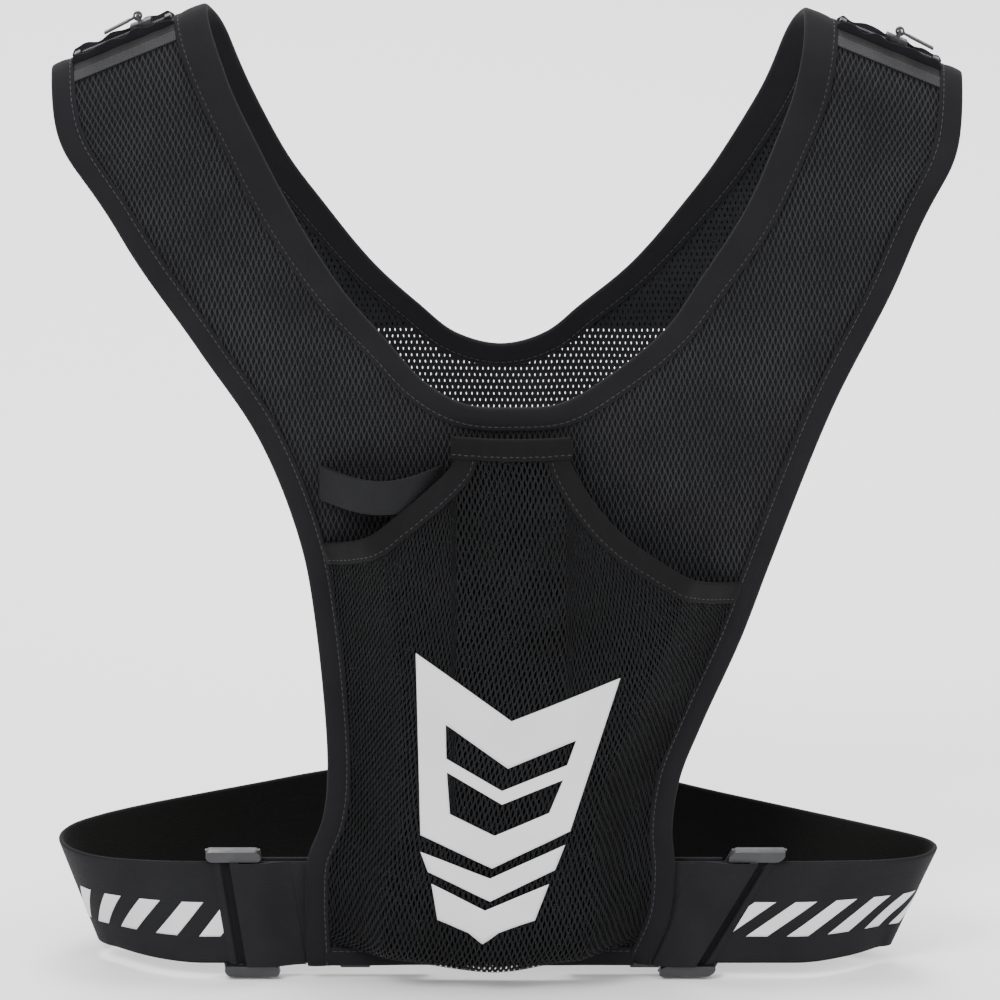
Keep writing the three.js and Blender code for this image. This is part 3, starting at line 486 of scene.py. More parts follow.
profilePoints = [
    [10, 0], [10, 60], [10, 120], [10, 180], [11, 240], [15, 300], [24, 350], [36, 380],
    [50, 390], [64, 382], [77, 358], [88, 330], [95, 300], [100, 270], [105, 235],
    [113, 190], [123, 140], [133, 95], [139, 60], [141, 30], [141, 2],
]
outline = {
    "backLeftSide": [
        [-77, 0], [-78, 28], [-77, 45], [-71, 62], [-69, 83], [-74, 146], [-80, 179],
        [-96, 221], [-120, 258], [-152, 306], [-174, 356], [-178.5, 390],
    ],
    "backRightSide": [
        [60, 0], [68, 20], [70, 41], [69, 58], [72, 79], [80, 100], [96, 137],
        [108, 170], [132, 233], [160, 291], [180, 348], [184, 390],
    ],
    "frontLeftSide": [
        [-170, 345], [-146, 290], [-118, 235], [-93, 180], [-74, 130], [-61, 85], [-54, 45], [-53, 2],
    ],
    "frontRightSide": [
        [176, 345], [151, 290], [121, 235], [95, 180], [75, 130], [61, 85], [54, 45], [53, 2],
    ],
    "backNeck": [
        [-116.5, 390], [-109, 367], [-96, 340], [-80, 310], [-62, 282], [-45, 262], [-30, 245],
        [-14, 236], [6, 234.5], [24, 236],
        [44, 248], [66, 267], [79, 286], [97, 314], [108, 338], [118, 366], [121, 390],
    ],
    "frontNeck": [
        [113, 371], [104, 345], [88, 315], [74, 294], [52, 266], [32, 248],
        [18, 236], [0, 231], [-18, 236],
        [-32, 248], [-50, 266], [-71, 294], [-85, 315], [-99, 345], [-108, 371],
    ],
}
profile = throughPoints(profilePoints, perSpan=60)
profileLengths = lengthsOf(profile)
profileLength = profileLengths[-1]
profileRun = unit(np.gradient(profile, profileLengths, axis=0))
topLength = profileLengths[profile[:, 1].argmax()]
seamLength = topLength - garment["seamBehindTop"]


def lengthAt(height, onFront=False):
    half = profileLengths >= topLength if onFront else profileLengths <= topLength
    heights, lengths = profile[half, 1], profileLengths[half]
    order = slice(None, None, -1) if onFront else slice(None)
    return np.interp(height, heights[order], lengths[order])


def ripple(x, s):
    # the cloth's own slow waves, a few tenths of a millimetre, calm near the shoulder zips
    calm = smooth((np.abs(s - topLength) - 22) / 40)
    waves = 0.45 * np.sin(x / 13 + s / 29) * np.sin(s / 37 - x / 61 + 1.1)
    return calm * (waves + 0.22 * np.sin(x / 7.5 - s / 17 + 0.4) * np.sin(s / 23 + x / 31))


def bodySurface(x, s):
    # profile carried across, with the shoulders falling away outwards; returns points and normals
    s = np.clip(s, 0, profileLength)
    y, z = (np.interp(s, profileLengths, profile[:, k]) for k in (0, 1))
    runY, runZ = (np.interp(s, profileLengths, profileRun[:, k]) for k in (0, 1))
    out, bend = np.abs(x) - garment["slopeStart"], garment["slopeBend"]
    fall = np.where(out < -bend, 0, np.where(out > bend, out, (out + bend) ** 2 / (4 * bend)))
    steep = np.clip((out + bend) / (2 * bend), 0, 1) * np.sign(x)
    t = np.clip((z - garment["slopeLow"]) / garment["slopeRise"], 0, 1)
    share, shareRun = smooth(t), 6 * t * (1 - t) / garment["slopeRise"]
    across = np.stack([np.ones_like(y), np.zeros_like(y), -garment["slope"] * steep * share], -1)
    along = np.stack([np.zeros_like(y), runY, runZ * (1 - garment["slope"] * fall * shareRun)], -1)
    normal = unit(np.cross(across, along))
    points = np.stack([x + 0 * y, y, z - garment["slope"] * fall * share], -1)
    return points + normal * ripple(x, s)[..., None], normal


def onPattern(points, onFront=False):
    points = np.asarray(points, float)
    return np.stack([points[:, 0], lengthAt(points[:, 1], onFront)], 1)


def edgeLine(back, front, closed=False):
    # one edge of the garment, up the back and down the front, as evenly spaced points on the pattern
    both = np.vstack([onPattern(outline[back]), onPattern(outline[front], True)])
    return evenly(throughPoints(both, closed), garment["edgeStep"])


sideLine = {-1: edgeLine("backLeftSide", "frontLeftSide"), 1: edgeLine("backRightSide", "frontRightSide")}
neckLine = edgeLine("backNeck", "frontNeck", True)[:-1]
neckMiddle = 4  # the neck opening hangs a little to one side


def sideX(s, side, inset=0.0):
    line = sideLine[side] + inwardOf(sideLine[side], side) * inset
    return np.interp(s, line[:, 1], line[:, 0])


def neckHalf(side, inset):
    # one side of the neck opening moved into the cloth, in order along the garment
    width = inset(neckLine[:, 1]) if callable(inset) else inset
    line = neckLine + inwardOf(neckLine, -1, True) * np.reshape(width, (-1, 1))
    line = line[(line[:, 0] - neckMiddle) * side > 0]
    return line[line[:, 1].argsort()]


def neckX(s, side, inset):
    line = neckHalf(side, inset)
    return np.interp(s, line[:, 1], line[:, 0])


# panels

panel = {"inset": 3.0, "wall": 0.8, "seamGap": 0.3, "step": 3.2, "strap": 22, "gap": 14, "strapRows": 90,
         "crowd": 1.7, "innerShare": 0.36, "innerRun": 90}


def addPanel(name, node, start, end, look):
    # rows follow the profile; past the neck's lowest row the middle columns stay open
    sides = [neckHalf(k, panel["inset"]) for k in (-1, 1)]
    onBack = start < end
    floor = min(h[0, 1] for h in sides) if onBack else max(h[-1, 1] for h in sides)
    sign = 1 if onBack else -1
    plain = np.linspace(start, floor, max(2, round(abs(floor - start) / panel["step"])))[:-1]
    grow = np.linspace(0, 1, panel["strapRows"]) ** panel["crowd"]
    s = np.concatenate([plain, floor + (end - floor) * grow])
    left, right = sideX(s, -1, panel["inset"]), sideX(s, 1, panel["inset"])
    reach = np.where((s - floor) * sign > 0, s, floor)
    inner, outer = (neckX(reach, k, panel["inset"]) for k in (-1, 1))
    share = smooth((floor - s) * sign / panel["innerRun"])
    inner = inner + (left + (right - left) * panel["innerShare"] - inner) * share
    outer = outer + (left + (right - left) * (1 - panel["innerShare"]) - outer) * share
    strap, gap = panel["strap"], panel["gap"]
    t = np.concatenate([np.arange(strap) / strap, 1 + np.arange(gap) / gap, 2 + np.arange(strap + 1) / strap])
    stops = np.stack([left, inner, outer, right], 1)
    k = np.minimum(t.astype(int), 2)
    x = stops[:, k] + (stops[:, k + 1] - stops[:, k]) * (t - k)
    across = np.repeat(s[:, None], x.shape[1], 1)
    hole = np.zeros((len(s) - 1, len(t) - 1), bool)
    hole[len(plain):, strap:strap + gap] = True
    points, _ = bodySurface(x, across)
    piece = addSheet(name, points, np.stack([x, across], -1), look, "panel_mesh", panel["wall"], hole,
                     stands=(node,))


addPanel("back_panel_cloth", "back_panel", panel["inset"], seamLength - panel["seamGap"], "lined")
addPanel("front_panel_cloth", "front_panel", profileLength - panel["inset"],
         seamLength + panel["seamGap"], "front")


# stitches

stitch = {"pitch": 2.6, "length": 2.0, "radius": 0.16, "sink": 0.1}


def addStitches(name, surface, lines, lift, slot="binding_tape", look="thread", turned=False, **size):
    # each stitch is a six-sided bead: radius * sin(pi t) thick, laid along the line
    values = {**stitch, **size}
    centres, runs, ups = [], [], []
    for line in lines:
        base, normal = surface(line[:, 0], line[:, 1])
        points = base + normal * np.reshape(lift, (-1, 1))
        lengths = lengthsOf(points)
        at = np.arange(values["pitch"] / 2, lengths[-1], values["pitch"])
        for found, track in ((centres, points), (ups, normal), (runs, np.gradient(points, axis=0))):
            found.append(np.stack([np.interp(at, lengths, track[:, k]) for k in range(3)], 1))
    centre, up, run = np.concatenate(centres), unit(np.concatenate(ups)), unit(np.concatenate(runs))
    beside = unit(np.cross(up, run))
    up = np.cross(run, beside)
    if turned:  # the beads lie across the line
        run, beside = beside, -run
    t = np.linspace(0, 1, 5)[:, None]
    turn = np.arange(6)[None, :] * math.pi / 3
    thick = values["radius"] * np.sqrt(np.clip(np.sin(math.pi * np.clip(t, 0.04, 0.96)), 0, 1))
    a = (t - 0.5) * values["length"] + 0 * turn
    b = thick * np.cos(turn)
    c = thick * np.sin(turn) - values["sink"] * 4 * (t - 0.5) ** 2 + 0 * turn
    points = centre[:, None]
    for part, direction in ((a, run), (b, beside), (c, up)):
        points = points + part.reshape(1, -1, 1) * direction[:, None]
    quads, _ = gridCells(5, 6, closedColumns=True)
    ends = np.array([[0, 5, 4, 3], [0, 3, 2, 1], [24, 25, 26, 27], [24, 27, 28, 29]])
    one = np.concatenate([quads, ends])
    if facesOut(points[0], one) is not one:
        one = one[:, ::-1]
    every = (one[None] + 30 * np.arange(len(centre))[:, None, None]).reshape(-1, 4)
    layout = np.zeros((len(centre) * 30, 2))
    return addPiece(name, points.reshape(-1, 3), every, layout, every, look, slot)


# folded bindings

fold = {"outer": 1.5, "tape": 0.55, "puff": 0.25, "stitchAt": 1.7, "stitchSink": 0.12, "neck": 9.5,
        "strap": 13.0, "side": 9.5, "bottom": 8.0, "bottomOuter": 1.3, "hem": 9.0}


def foldSection(width, outer, puff):
    # a U of tape: flat faces that swell between fold and stitch line, a round fold, closed lips
    outer = np.broadcast_to(outer, len(width))[:, None]
    a = width[:, None] * np.array([1, 0.93, 0.84, 0.8, 0.74, 0.6, 0.45, 0.3, 0.18])[None]
    swell = np.array([-0.5, 0.1, -0.55, -0.9, -0.2, 0.7, 1.0, 0.8, 0.4])[None] * puff
    b = outer + swell + 0 * a
    turn = np.linspace(math.pi / 2, 3 * math.pi / 2, 9)[None, 1:-1]
    radius = outer + 0.3 * puff
    foldA, foldB = (r + 0 * width[:, None] for r in (radius * (1 + np.cos(turn)), radius * np.sin(turn)))
    innerA = np.stack([width, width * 0.5, outer[:, 0] + 0.4], 1)
    innerB = (outer - fold["tape"]) * np.array([-1, -1, -0.6])[None]
    section = [
        (a, b), (foldA, foldB), (a[:, ::-1], -b[:, ::-1]),
        (innerA, innerB), (innerA[:, ::-1], -innerB[:, ::-1]),
    ]
    return np.concatenate([p for p, _ in section], 1), np.concatenate([q for _, q in section], 1)


def addFold(name, surface, line, side, width, node, closed=False, outer=fold["outer"], puff=fold["puff"],
            look="tape"):
    # the section carried along the cloth's edge, its flat sides square to the surface's normal
    inward = inwardOf(line, side, closed)
    width = np.broadcast_to(width, len(line))
    a, b = foldSection(width, outer, puff)
    u = line[:, :1] + inward[:, :1] * a
    v = line[:, 1:] + inward[:, 1:] * a
    base, normal = surface(u, v)
    rings = base + normal * b[..., None]
    along = lengthsOf(np.vstack([line, line[:1]]) if closed else line)
    around = lengthsOf(np.stack([a[0], b[0]], 1))
    around = np.append(around, around[-1] + 0.5)
    layout = np.stack(np.meshgrid(along, around, indexing="ij"), -1)
    addTube(name, rings, layout, look, "binding_tape", closed, stands=(node,))
    run = line + inward * (width - fold["stitchAt"])[:, None]
    run = np.vstack([run, run[:1]]) if closed else run
    lift = outer - fold["stitchSink"]
    addStitches(name + "_stitching", surface, [run], lift)
    addStitches(name + "_stitching_inside", surface, [run], -lift)


def neckWidth(s):
    rise = smooth((s - lengthAt(240)) / 90) * smooth((lengthAt(250, True) - s) / 90)
    return fold["neck"] + (fold["strap"] - fold["neck"]) * rise


addFold("neck_binding_tape", bodySurface, neckLine, -1, neckWidth(neckLine[:, 1]), "neck_binding", True)
addFold("left_armhole_tape", bodySurface, sideLine[-1], -1, fold["side"], "left_armhole_binding")
addFold("right_armhole_tape", bodySurface, sideLine[1], 1, fold["side"], "right_armhole_binding")
for nodeName, s, side in (("back_bottom_binding", 0.0, 1), ("front_bottom_binding", profileLength, -1)):
    reach = [sideX(s, k, fold["side"] - 2.5) for k in (-1, 1)]
    hemLine = np.stack([np.linspace(*reach, 50), np.full(50, s)], 1)
    addFold(nodeName + "_tape", bodySurface, hemLine, side, fold["bottom"], nodeName,
            outer=fold["bottomOuter"])
print("bindings sewn")


# back pocket

pocket = {"depth": 24.0, "sideRamp": 26.0, "rimZ": 10.0, "joinZ": 22.0, "dip": 14.3, "bottomRun": 34.0,
          "lowestX": -4.0, "droopWidth": 27.0, "rest": 2.0, "edgeRest": 0.62, "wall": 0.5, "crease": 0.72,
          "tuck": 1.2, "closeLow": 174, "closeRun": 50, "closeShare": 0.72, "gather": 0.54, "sag": 0.8,
          "dent": 0.7, "columns": 150, "bottomRows": 30, "faceRows": 110}
leftMouth = [[-17.6, 221], [-18.5, 214.5], [-28, 205], [-40, 196], [-54, 186], [-67.5, 179.5], [-71.5, 178]]
rightMouth = [
    [27.6, 221], [28.5, 214.5], [36, 202], [48, 189], [64, 177.5], [80, 168], [92.5, 163], [96.5, 161.5],
]
centreMouth = {"from": -17.5, "to": 26.5, "z": 224.4}
leftHem = evenly(throughPoints(leftMouth), 2.0)
rightHem = evenly(throughPoints(rightMouth), 2.0)
sideMouths = [line[line[:, 1] < 214.5] for line in (leftHem, rightHem)]
centreTop = [[centreMouth["from"], centreMouth["z"]], [centreMouth["to"], centreMouth["z"]]]
mouthTop = np.vstack([sideMouths[0][::-1], centreTop, sideMouths[1]])


def pocketWrinkles(x, h, inside):
    # gathers that fade away below each hem, slack folds low down, and slow dents over the face
    below = np.interp(x, mouthTop[:, 0], mouthTop[:, 1]) - h
    gathers = np.sin(x / 1.45 + 1.6 * np.sin(x / 9)) * np.exp(-np.clip(below, 0, 90) / 13) * smooth(below / 5)
    loose = np.sin((x + 0.45 * h) / 5.2 + 1.3 * np.sin(h / 11)) * np.exp(-np.clip(h - 10, 0, 200) / 26)
    dents = np.sin(x / 17 + h / 41 + 0.6) * np.sin(h / 26 - x / 55)
    return smooth(inside) * (pocket["gather"] * gathers + pocket["sag"] * loose + pocket["dent"] * dents)


def pocketEdges(s):
    # where the face is tucked under the two armhole bindings
    return [sideX(s, k) - k * (fold["side"] - pocket["tuck"]) for k in (-1, 1)]


def pocketPoint(x, h):
    # swells by the product of two ramps, each a share of distance / sideRamp eased at its top; below
    # joinZ a cubic with its middle pulled down carries the face round under the pocket
    z = np.maximum(h, pocket["rimZ"])
    s = lengthAt(z)
    left, right = pocketEdges(s)
    swell, settle = [], []
    for distance in (x - left, right - x):
        r = np.clip(distance / pocket["sideRamp"], 0, 1)
        ramp = pocket["crease"] * r + (1 - pocket["crease"]) * (1 - np.cos(math.pi * r)) / 2
        swell.append(ramp - 0.05 * np.exp(-((r - 1) / 0.07) ** 2) * (r > 0.5))
        settle.append(smooth(distance / 8))
    share = swell[0] * swell[1]
    panelY = np.interp(s, profileLengths, profile[:, 0])
    close = 1 - pocket["closeShare"] * smooth((h - pocket["closeLow"]) / pocket["closeRun"])
    full = pocket["depth"] * share * close
    rest = panelY - pocket["edgeRest"] - (pocket["rest"] - pocket["edgeRest"]) * settle[0] * settle[1]
    full = full + pocketWrinkles(x, h, np.minimum(x - left, right - x) / 14)
    t = np.clip(1 - (pocket["joinZ"] - h) / pocket["bottomRun"], 0, 1)
    droop = 0.4 + 0.6 * np.exp(-((x - pocket["lowestX"]) / pocket["droopWidth"]) ** 2)
    under = pocket["rimZ"] - pocket["dip"] * share * droop
    middle = 3 * t * (1 - t)
    sink = (1 - t) ** 3 * pocket["rimZ"] + middle * under + t**3 * pocket["joinZ"]
    reach = middle * (1 - t) * 0.1 + middle * t + t**3
    low = h < pocket["joinZ"]
    return np.stack([x + 0 * h, rest - full * np.where(low, reach, 1), np.where(low, sink, h)], -1)


def pocketSurface(x, h):
    step = 0.15
    across = pocketPoint(x + step, h) - pocketPoint(x - step, h)
    along = pocketPoint(x, h + step) - pocketPoint(x, h - step)
    return pocketPoint(x, h), unit(np.cross(across, along))


def runLengths(points, axis):
    # lengths along the rows or the columns of a grid of points
    steps = np.linalg.norm(np.diff(points, axis=axis), axis=2)
    return np.concatenate([0 * steps.take([0], axis), np.cumsum(steps, axis)], axis)


def addPocket():
    # columns share the width evenly; rows run from under the pocket up to its mouths
    bottomRows, columns = pocket["bottomRows"], pocket["columns"]
    share = np.linspace(0, 1, columns)[None, :]
    down = 1 - np.linspace(0, 1, bottomRows, endpoint=False)
    bottom = np.repeat((pocket["joinZ"] - pocket["bottomRun"] * down)[:, None], columns, 1)
    rise = np.linspace(0, 1, pocket["faceRows"])[:, None]
    x = np.repeat(-70 + 150 * share, bottomRows + pocket["faceRows"], 0)
    for _ in range(12):  # the mouth's height depends on x, and the width at that height moves x
        top = np.interp(x[bottomRows:], mouthTop[:, 0], mouthTop[:, 1] - panel["inset"])
        h = np.vstack([bottom, pocket["joinZ"] + (top - pocket["joinZ"]) * rise])
        left, right = pocketEdges(lengthAt(np.maximum(h, pocket["rimZ"])))
        x = left + (right - left) * share
    points = pocketPoint(x, h)
    wide = runLengths(points, 1)
    wide -= wide[:, columns // 2][:, None]
    tall = runLengths(points, 0)
    piece = addSheet("pocket_face_cloth", points, np.stack([wide, tall], -1), "open", "pocket_mesh",
                     pocket["wall"], stands=("pocket_face",))


addPocket()
for hemName, line, side in (("left_pocket_hem", leftHem, 1), ("right_pocket_hem", rightHem, -1)):
    under = smooth((line[:, 1] - 209) / 8)  # each side hem thins out where the centre hem covers it
    addFold(hemName + "_tape", pocketSurface, line, side, fold["hem"], hemName, outer=0.85 - 0.4 * under,
            puff=0.1, look="hem")
hemX = np.linspace(centreMouth["from"] - 1.8, centreMouth["to"] + 1.8, 30)
hemSag = 1.2 * np.sin(math.pi * (hemX - hemX[0]) / np.ptp(hemX))
centreHem = np.stack([hemX, centreMouth["z"] + 0.6 - hemSag], 1)
addFold("centre_pocket_hem_tape", pocketSurface, centreHem, -1, fold["hem"], "centre_pocket_hem",
        outer=1.15, puff=0.14, look="hem")


# reflective prints

film = {"lift": 0.5, "wall": 0.16, "cells": 10}


def addPrint(name, node, control, hole=None):
    # straight-edged patches: straight lines between the control points, followed by the cloth
    control = np.asarray(control, float)
    n = film["cells"]
    rows, columns = control.shape[:2]
    i, j = np.arange((rows - 1) * n + 1) / n, np.arange((columns - 1) * n + 1) / n
    fine = []
    for k in (0, 1):
        wide = np.stack([np.interp(j, np.arange(columns), row[:, k]) for row in control])
        fine.append(np.stack([np.interp(i, np.arange(rows), column) for column in wide.T], 1))
    base, normal = pocketSurface(*fine)
    cells = None if hole is None else np.repeat(np.repeat(hole, n, 0), n, 1)
    addSheet(name, base + normal * film["lift"], np.stack(fine, -1), "film", "reflective_print",
             film["wall"], cells, stands=(node,))


def partWay(a, b, x):
    # the point of the straight line from a to b at this x
    t = (x - a[0]) / (b[0] - a[0])
    return [x, a[1] + (b[1] - a[1]) * t]


def addShield():
    topLeft, topMiddle, topRight = [-33.6, 139.6], [4.6, 111], [48, 129.1]
    lowLeft, lowMiddle, lowRight = [-31.8, 63.1], [-3.2, 49.2], [28, 64.5]
    windows = [
        [[-21.6, 109.3], [3.2, 91], [30.4, 103]], [[-21.4, 95], [0.8, 81.6], [26.8, 92.5]],
        [[-21.2, 89.3], [0.8, 75.9], [25.2, 86.2]], [[-20, 71.9], [-2.2, 62.8], [19.6, 72.3]],
    ]
    heights = [0.3, 0.52, 0.6, 0.85]  # how far down the outer edges the windows' corners lie
    rows = [[topLeft, partWay(topLeft, topMiddle, -21.8), topMiddle, partWay(topMiddle, topRight, 33.5),
             topRight]]
    for share, corners in zip(heights, windows):
        outerLeft = np.add(topLeft, share * np.subtract(lowLeft, topLeft))
        outerRight = np.add(topRight, share * np.subtract(lowRight, topRight))
        rows.append([outerLeft, *corners, outerRight])
    rows.append([lowLeft, partWay(lowLeft, lowMiddle, -19.6), lowMiddle,
                 partWay(lowMiddle, lowRight, 18.6), lowRight])
    hole = np.zeros((5, 4), bool)
    hole[[1, 3], 1:3] = True
    addPrint("chevron_shield_print", "chevron_shield", rows, hole)


addShield()
addPrint("chevron_middle_print", "chevron_middle",
         [[[-31.8, 56], [-4, 45], [26, 58.9]], [[-28.8, 47.5], [-4, 35.3], [22, 48.4]]])
addPrint("chevron_tip_print", "chevron_tip",
         [[[-27.4, 42.5], [-6, 31.5], [19.6, 42.5]], [[-25, 27.2], [-7, 19.7], [14, 27.2]]])
print("pocket and prints done")


# pole loop

poleLoop = {"from": -71.0, "to": -24.0, "low": 197.0, "high": 211.0, "reach": 16.0, "rest": 8.6,
            "wall": 1.4, "slack": 1.5, "flare": 0.05}


def loopSurface(x, z):
    # half a sine wave out from the panel: reach * sin(pi t), deeper at the top edge and hung a little low
    width = poleLoop["to"] - poleLoop["from"]
    t = np.clip((x - poleLoop["from"]) / width, 0, 1)
    reach = poleLoop["reach"] + poleLoop["flare"] * (z - (poleLoop["low"] + poleLoop["high"]) / 2)
    y = poleLoop["rest"] - reach * np.sin(math.pi * t)
    slope = -reach * math.pi / width * np.cos(math.pi * t)
    normal = unit(np.stack([slope, -np.ones_like(t), np.zeros_like(t)], -1))
    return np.stack([x, y, z - poleLoop["slack"] * np.sin(math.pi * t)], -1), normal


def addPoleLoop():
    width = poleLoop["to"] - poleLoop["from"]
    ends = poleLoop["from"] + width * (1 - np.cos(np.linspace(0, math.pi, 70))) / 2
    x, z = np.meshgrid(ends, np.linspace(poleLoop["low"], poleLoop["high"], 14))
    base, normal = loopSurface(x, z)
    piece = addPlate("pole_loop_band", base + normal * poleLoop["wall"], base, np.stack([x, z - 190], -1),
                     "elastic", "belt_elastic", stands=("pole_loop",))
    soften(piece, 0.4)


addPoleLoop()


# waist belt

belt = {"low": 0.0, "high": 43.0, "wall": 1.8, "faceY": 11.9, "step": 2.2, "flareStart": 66, "flareRun": 48,
        "frontStart": 30, "frontRun": 100, "turnStart": 80, "turnRun": 100}
beltPlans = {
    "left": [
        [52, 11.9], [80, 11.9], [110, 11.9], [136, 12.2], [150, 14], [161, 17.5], [170, 24.5], [176, 35],
        [177, 47], [172, 60], [160, 72.5], [143, 85], [124, 97], [100, 111.6], [76, 126], [60, 133.5],
        [40, 137.3],
    ],
    "right": [
        [52, 11.9], [80, 11.9], [110, 11.9], [136, 11.9], [150, 12.2], [161, 14.2], [169, 18.2],
        [174, 24.5], [175.6, 32], [173, 39.5], [166, 46.5], [156, 53.8], [120, 79], [82, 106], [64, 120],
        [50, 131.5], [38, 137.3],
    ],
}
beltSides = {
    "left": {"side": -1, "flare": 16.0, "adjusterX": 103.0, "lean": 9.0, "stripes": 5, "pitch": 17.4,
             "lowShift": 10.5, "first": 49.4},
    "right": {"side": 1, "flare": 20.0, "adjusterX": 89.0, "lean": 30.0, "stripes": 6, "pitch": 16.4,
              "lowShift": -20.0, "first": 50.0},
}


def beltSurface(sideName):
    # u along the belt from the back panel, v up from its lower edge; round the tip the lower edge
    # is drawn in by flare * (1 - v / height), in a direction that turns from straight back to inwards
    plan = evenly(throughPoints(beltPlans[sideName], perSpan=80), 0.5)
    lengths = lengthsOf(plan)
    side, flare = beltSides[sideName]["side"], beltSides[sideName]["flare"]
    height = belt["high"] - belt["low"]

    def place(u, v):
        x, y = (np.interp(u, lengths, plan[:, k]) for k in (0, 1))
        grow = smooth((u - belt["flareStart"]) / belt["flareRun"])
        fade = smooth((lengths[-1] - belt["frontStart"] - u) / belt["frontRun"])
        low = flare * grow * fade * (1 - v / height)
        turn = math.pi * (0.5 + 0.75 * smooth((u - belt["turnStart"]) / belt["turnRun"]))
        z = belt["low"] + v + 0 * u
        return np.stack([side * (x + np.cos(turn) * low), y + np.sin(turn) * low, z], -1)

    def surface(u, v):
        across = place(u + 0.3, v) - place(u - 0.3, v)
        up = place(u, v + 0.3) - place(u, v - 0.3)
        return place(u, v), unit(np.cross(across, up)) * side

    return surface, lengths[-1]


def addBelt(sideName):
    # a flat band with round edges: its section is carried along u
    surface, beltLength = beltSurface(sideName)
    u = np.linspace(0, beltLength, round(beltLength / belt["step"]))
    height, half = belt["high"] - belt["low"], belt["wall"] / 2
    face = np.linspace(half, height - half, 18)
    turn = np.linspace(0, math.pi, 7)[1:-1]
    arcV, arcB = half * np.sin(turn), half * np.cos(turn)
    v = np.concatenate([face, height - half + arcV, face[::-1], half - arcV])
    b = np.concatenate([0 * face, arcB - half, 0 * face - belt["wall"], -half - arcB])
    base, normal = surface(u[:, None] + 0 * v, v[None] + 0 * u[:, None])
    rings = base + normal * b[None, :, None]
    around = lengthsOf(np.stack([v, b], 1))
    around = np.append(around, around[-1] + 0.5)
    layout = np.stack(np.meshgrid(u, around, indexing="ij"), -1)
    addTube(sideName + "_belt_band", rings, layout, "elastic", "belt_elastic",
            stands=(sideName + "_belt",))


stripe = {"width": 8.6, "low": 11.5, "high": 26.0, "lift": 0.18, "wall": 0.14}


def addStripes(sideName):
    values = beltSides[sideName]
    surface, _ = beltSurface(sideName)
    across, up = np.meshgrid(np.linspace(0, 1, 12), np.linspace(0, 1, 14))
    for k in range(values["stripes"]):
        u = values["first"] + k * values["pitch"] + values["lowShift"] * (1 - up) + stripe["width"] * across
        v = stripe["low"] + (stripe["high"] - stripe["low"]) * up
        base, normal = surface(u, v)
        upper, lower = (base + normal * lift for lift in (stripe["lift"], stripe["lift"] - stripe["wall"]))
        addPlate(f"{sideName}_stripe_print_{k + 1}", upper, lower, np.stack([u, v], -1), "film",
                 "reflective_print", stands=(f"{sideName}_stripe_{k + 1}",))


for sideName in beltSides:
    addBelt(sideName)
    addStripes(sideName)
print("belts done")


# buckles, return straps and rings

def roundedCopy(name, node, look, width, body="garment"):
    # the frame's own solid with its doubles merged, its flat facets joined and its edges rounded
    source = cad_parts[node].data
    made = bmesh.new()
    made.from_mesh(source)
    bmesh.ops.remove_doubles(made, verts=made.verts, dist=3e-6)
    bmesh.ops.dissolve_limit(made, angle_limit=math.radians(2), verts=made.verts, edges=made.edges)
    mesh = bpy.data.meshes.new(name)
    made.to_mesh(mesh)
    made.free()
    mesh.polygons.foreach_set("use_smooth", np.ones(len(mesh.polygons), bool))
    mesh.materials.append(looks[look])
    piece = soften(addObject(name, mesh), width, 3)
    piece.modifiers["edge"].harden_normals = True
    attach(piece, body)
    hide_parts(node)


buckle = {"edge": 0.55, "ringEdge": 0.6, "sleeveWall": 1.6, "clear": 0.12, "lift": 0.24, "over": 0.15}
sleeves = {
    "inner": {"from": -22.0, "to": 1.8, "height": 4.2, "up": (-22.0, -5.5), "down": (30.0, 40.0),
              "look": "elastic", "edge": 0.25},
    "outer": {"from": 4.2, "to": 9.0, "height": 1.3, "up": (4.2, 6.2), "down": (6.2, 9.0),
              "look": "elastic", "edge": 0.25},
    # the next plate lies flat on the strap in the groove and is darker than the strap: painted shade where
    # the strap dips under the middle bar
    "grooveShade": {"from": 0.6, "to": 4.6, "height": 0.0, "up": (0.0, 1.0), "down": (3.0, 4.0),
               "look": "flap", "edge": 0.05},
}


def addSleeve(sideName, sleeveName):
    # the strap's rise over the middle bar, a flat dark plate on the groove's floor beside it that is painted
    # shade,
    # and the low hump past the groove: lift + height * (eased up) * (eased down), sheared by the tri-glide's
    # lean
    values, sleeve = beltSides[sideName], sleeves[sleeveName]
    height = belt["high"] - belt["low"]
    d, v = np.meshgrid(np.linspace(sleeve["from"], sleeve["to"], 48),
                       np.linspace(-buckle["over"], height + buckle["over"], 24))
    (upFrom, upTo), (downFrom, downTo) = sleeve["up"], sleeve["down"]
    rise = smooth((d - upFrom) / (upTo - upFrom)) * (1 - smooth((d - downFrom) / (downTo - downFrom)))
    lift = buckle["lift"] + sleeve["height"] * rise
    low = np.maximum(lift - buckle["sleeveWall"], buckle["clear"])
    x = values["adjusterX"] + (v - height / 2) * math.tan(math.radians(values["lean"])) + d
    upper, lower = (np.stack([values["side"] * x, belt["faceY"] - out, belt["low"] + v], -1)
                    for out in (lift, low))
    piece = addPlate(f"{sideName}_strap_{sleeveName}_hump", upper, lower, np.stack([x, v], -1),
                     sleeve["look"], "belt_elastic", body=sideName + "_buckle")
    soften(piece, sleeve["edge"])


def flatSurface(y, toward):
    def surface(x, z):
        points = np.stack([x, y + 0 * x, z], -1)
        normal = np.zeros_like(points)
        normal[..., 1] = toward
        return points, normal
    return surface


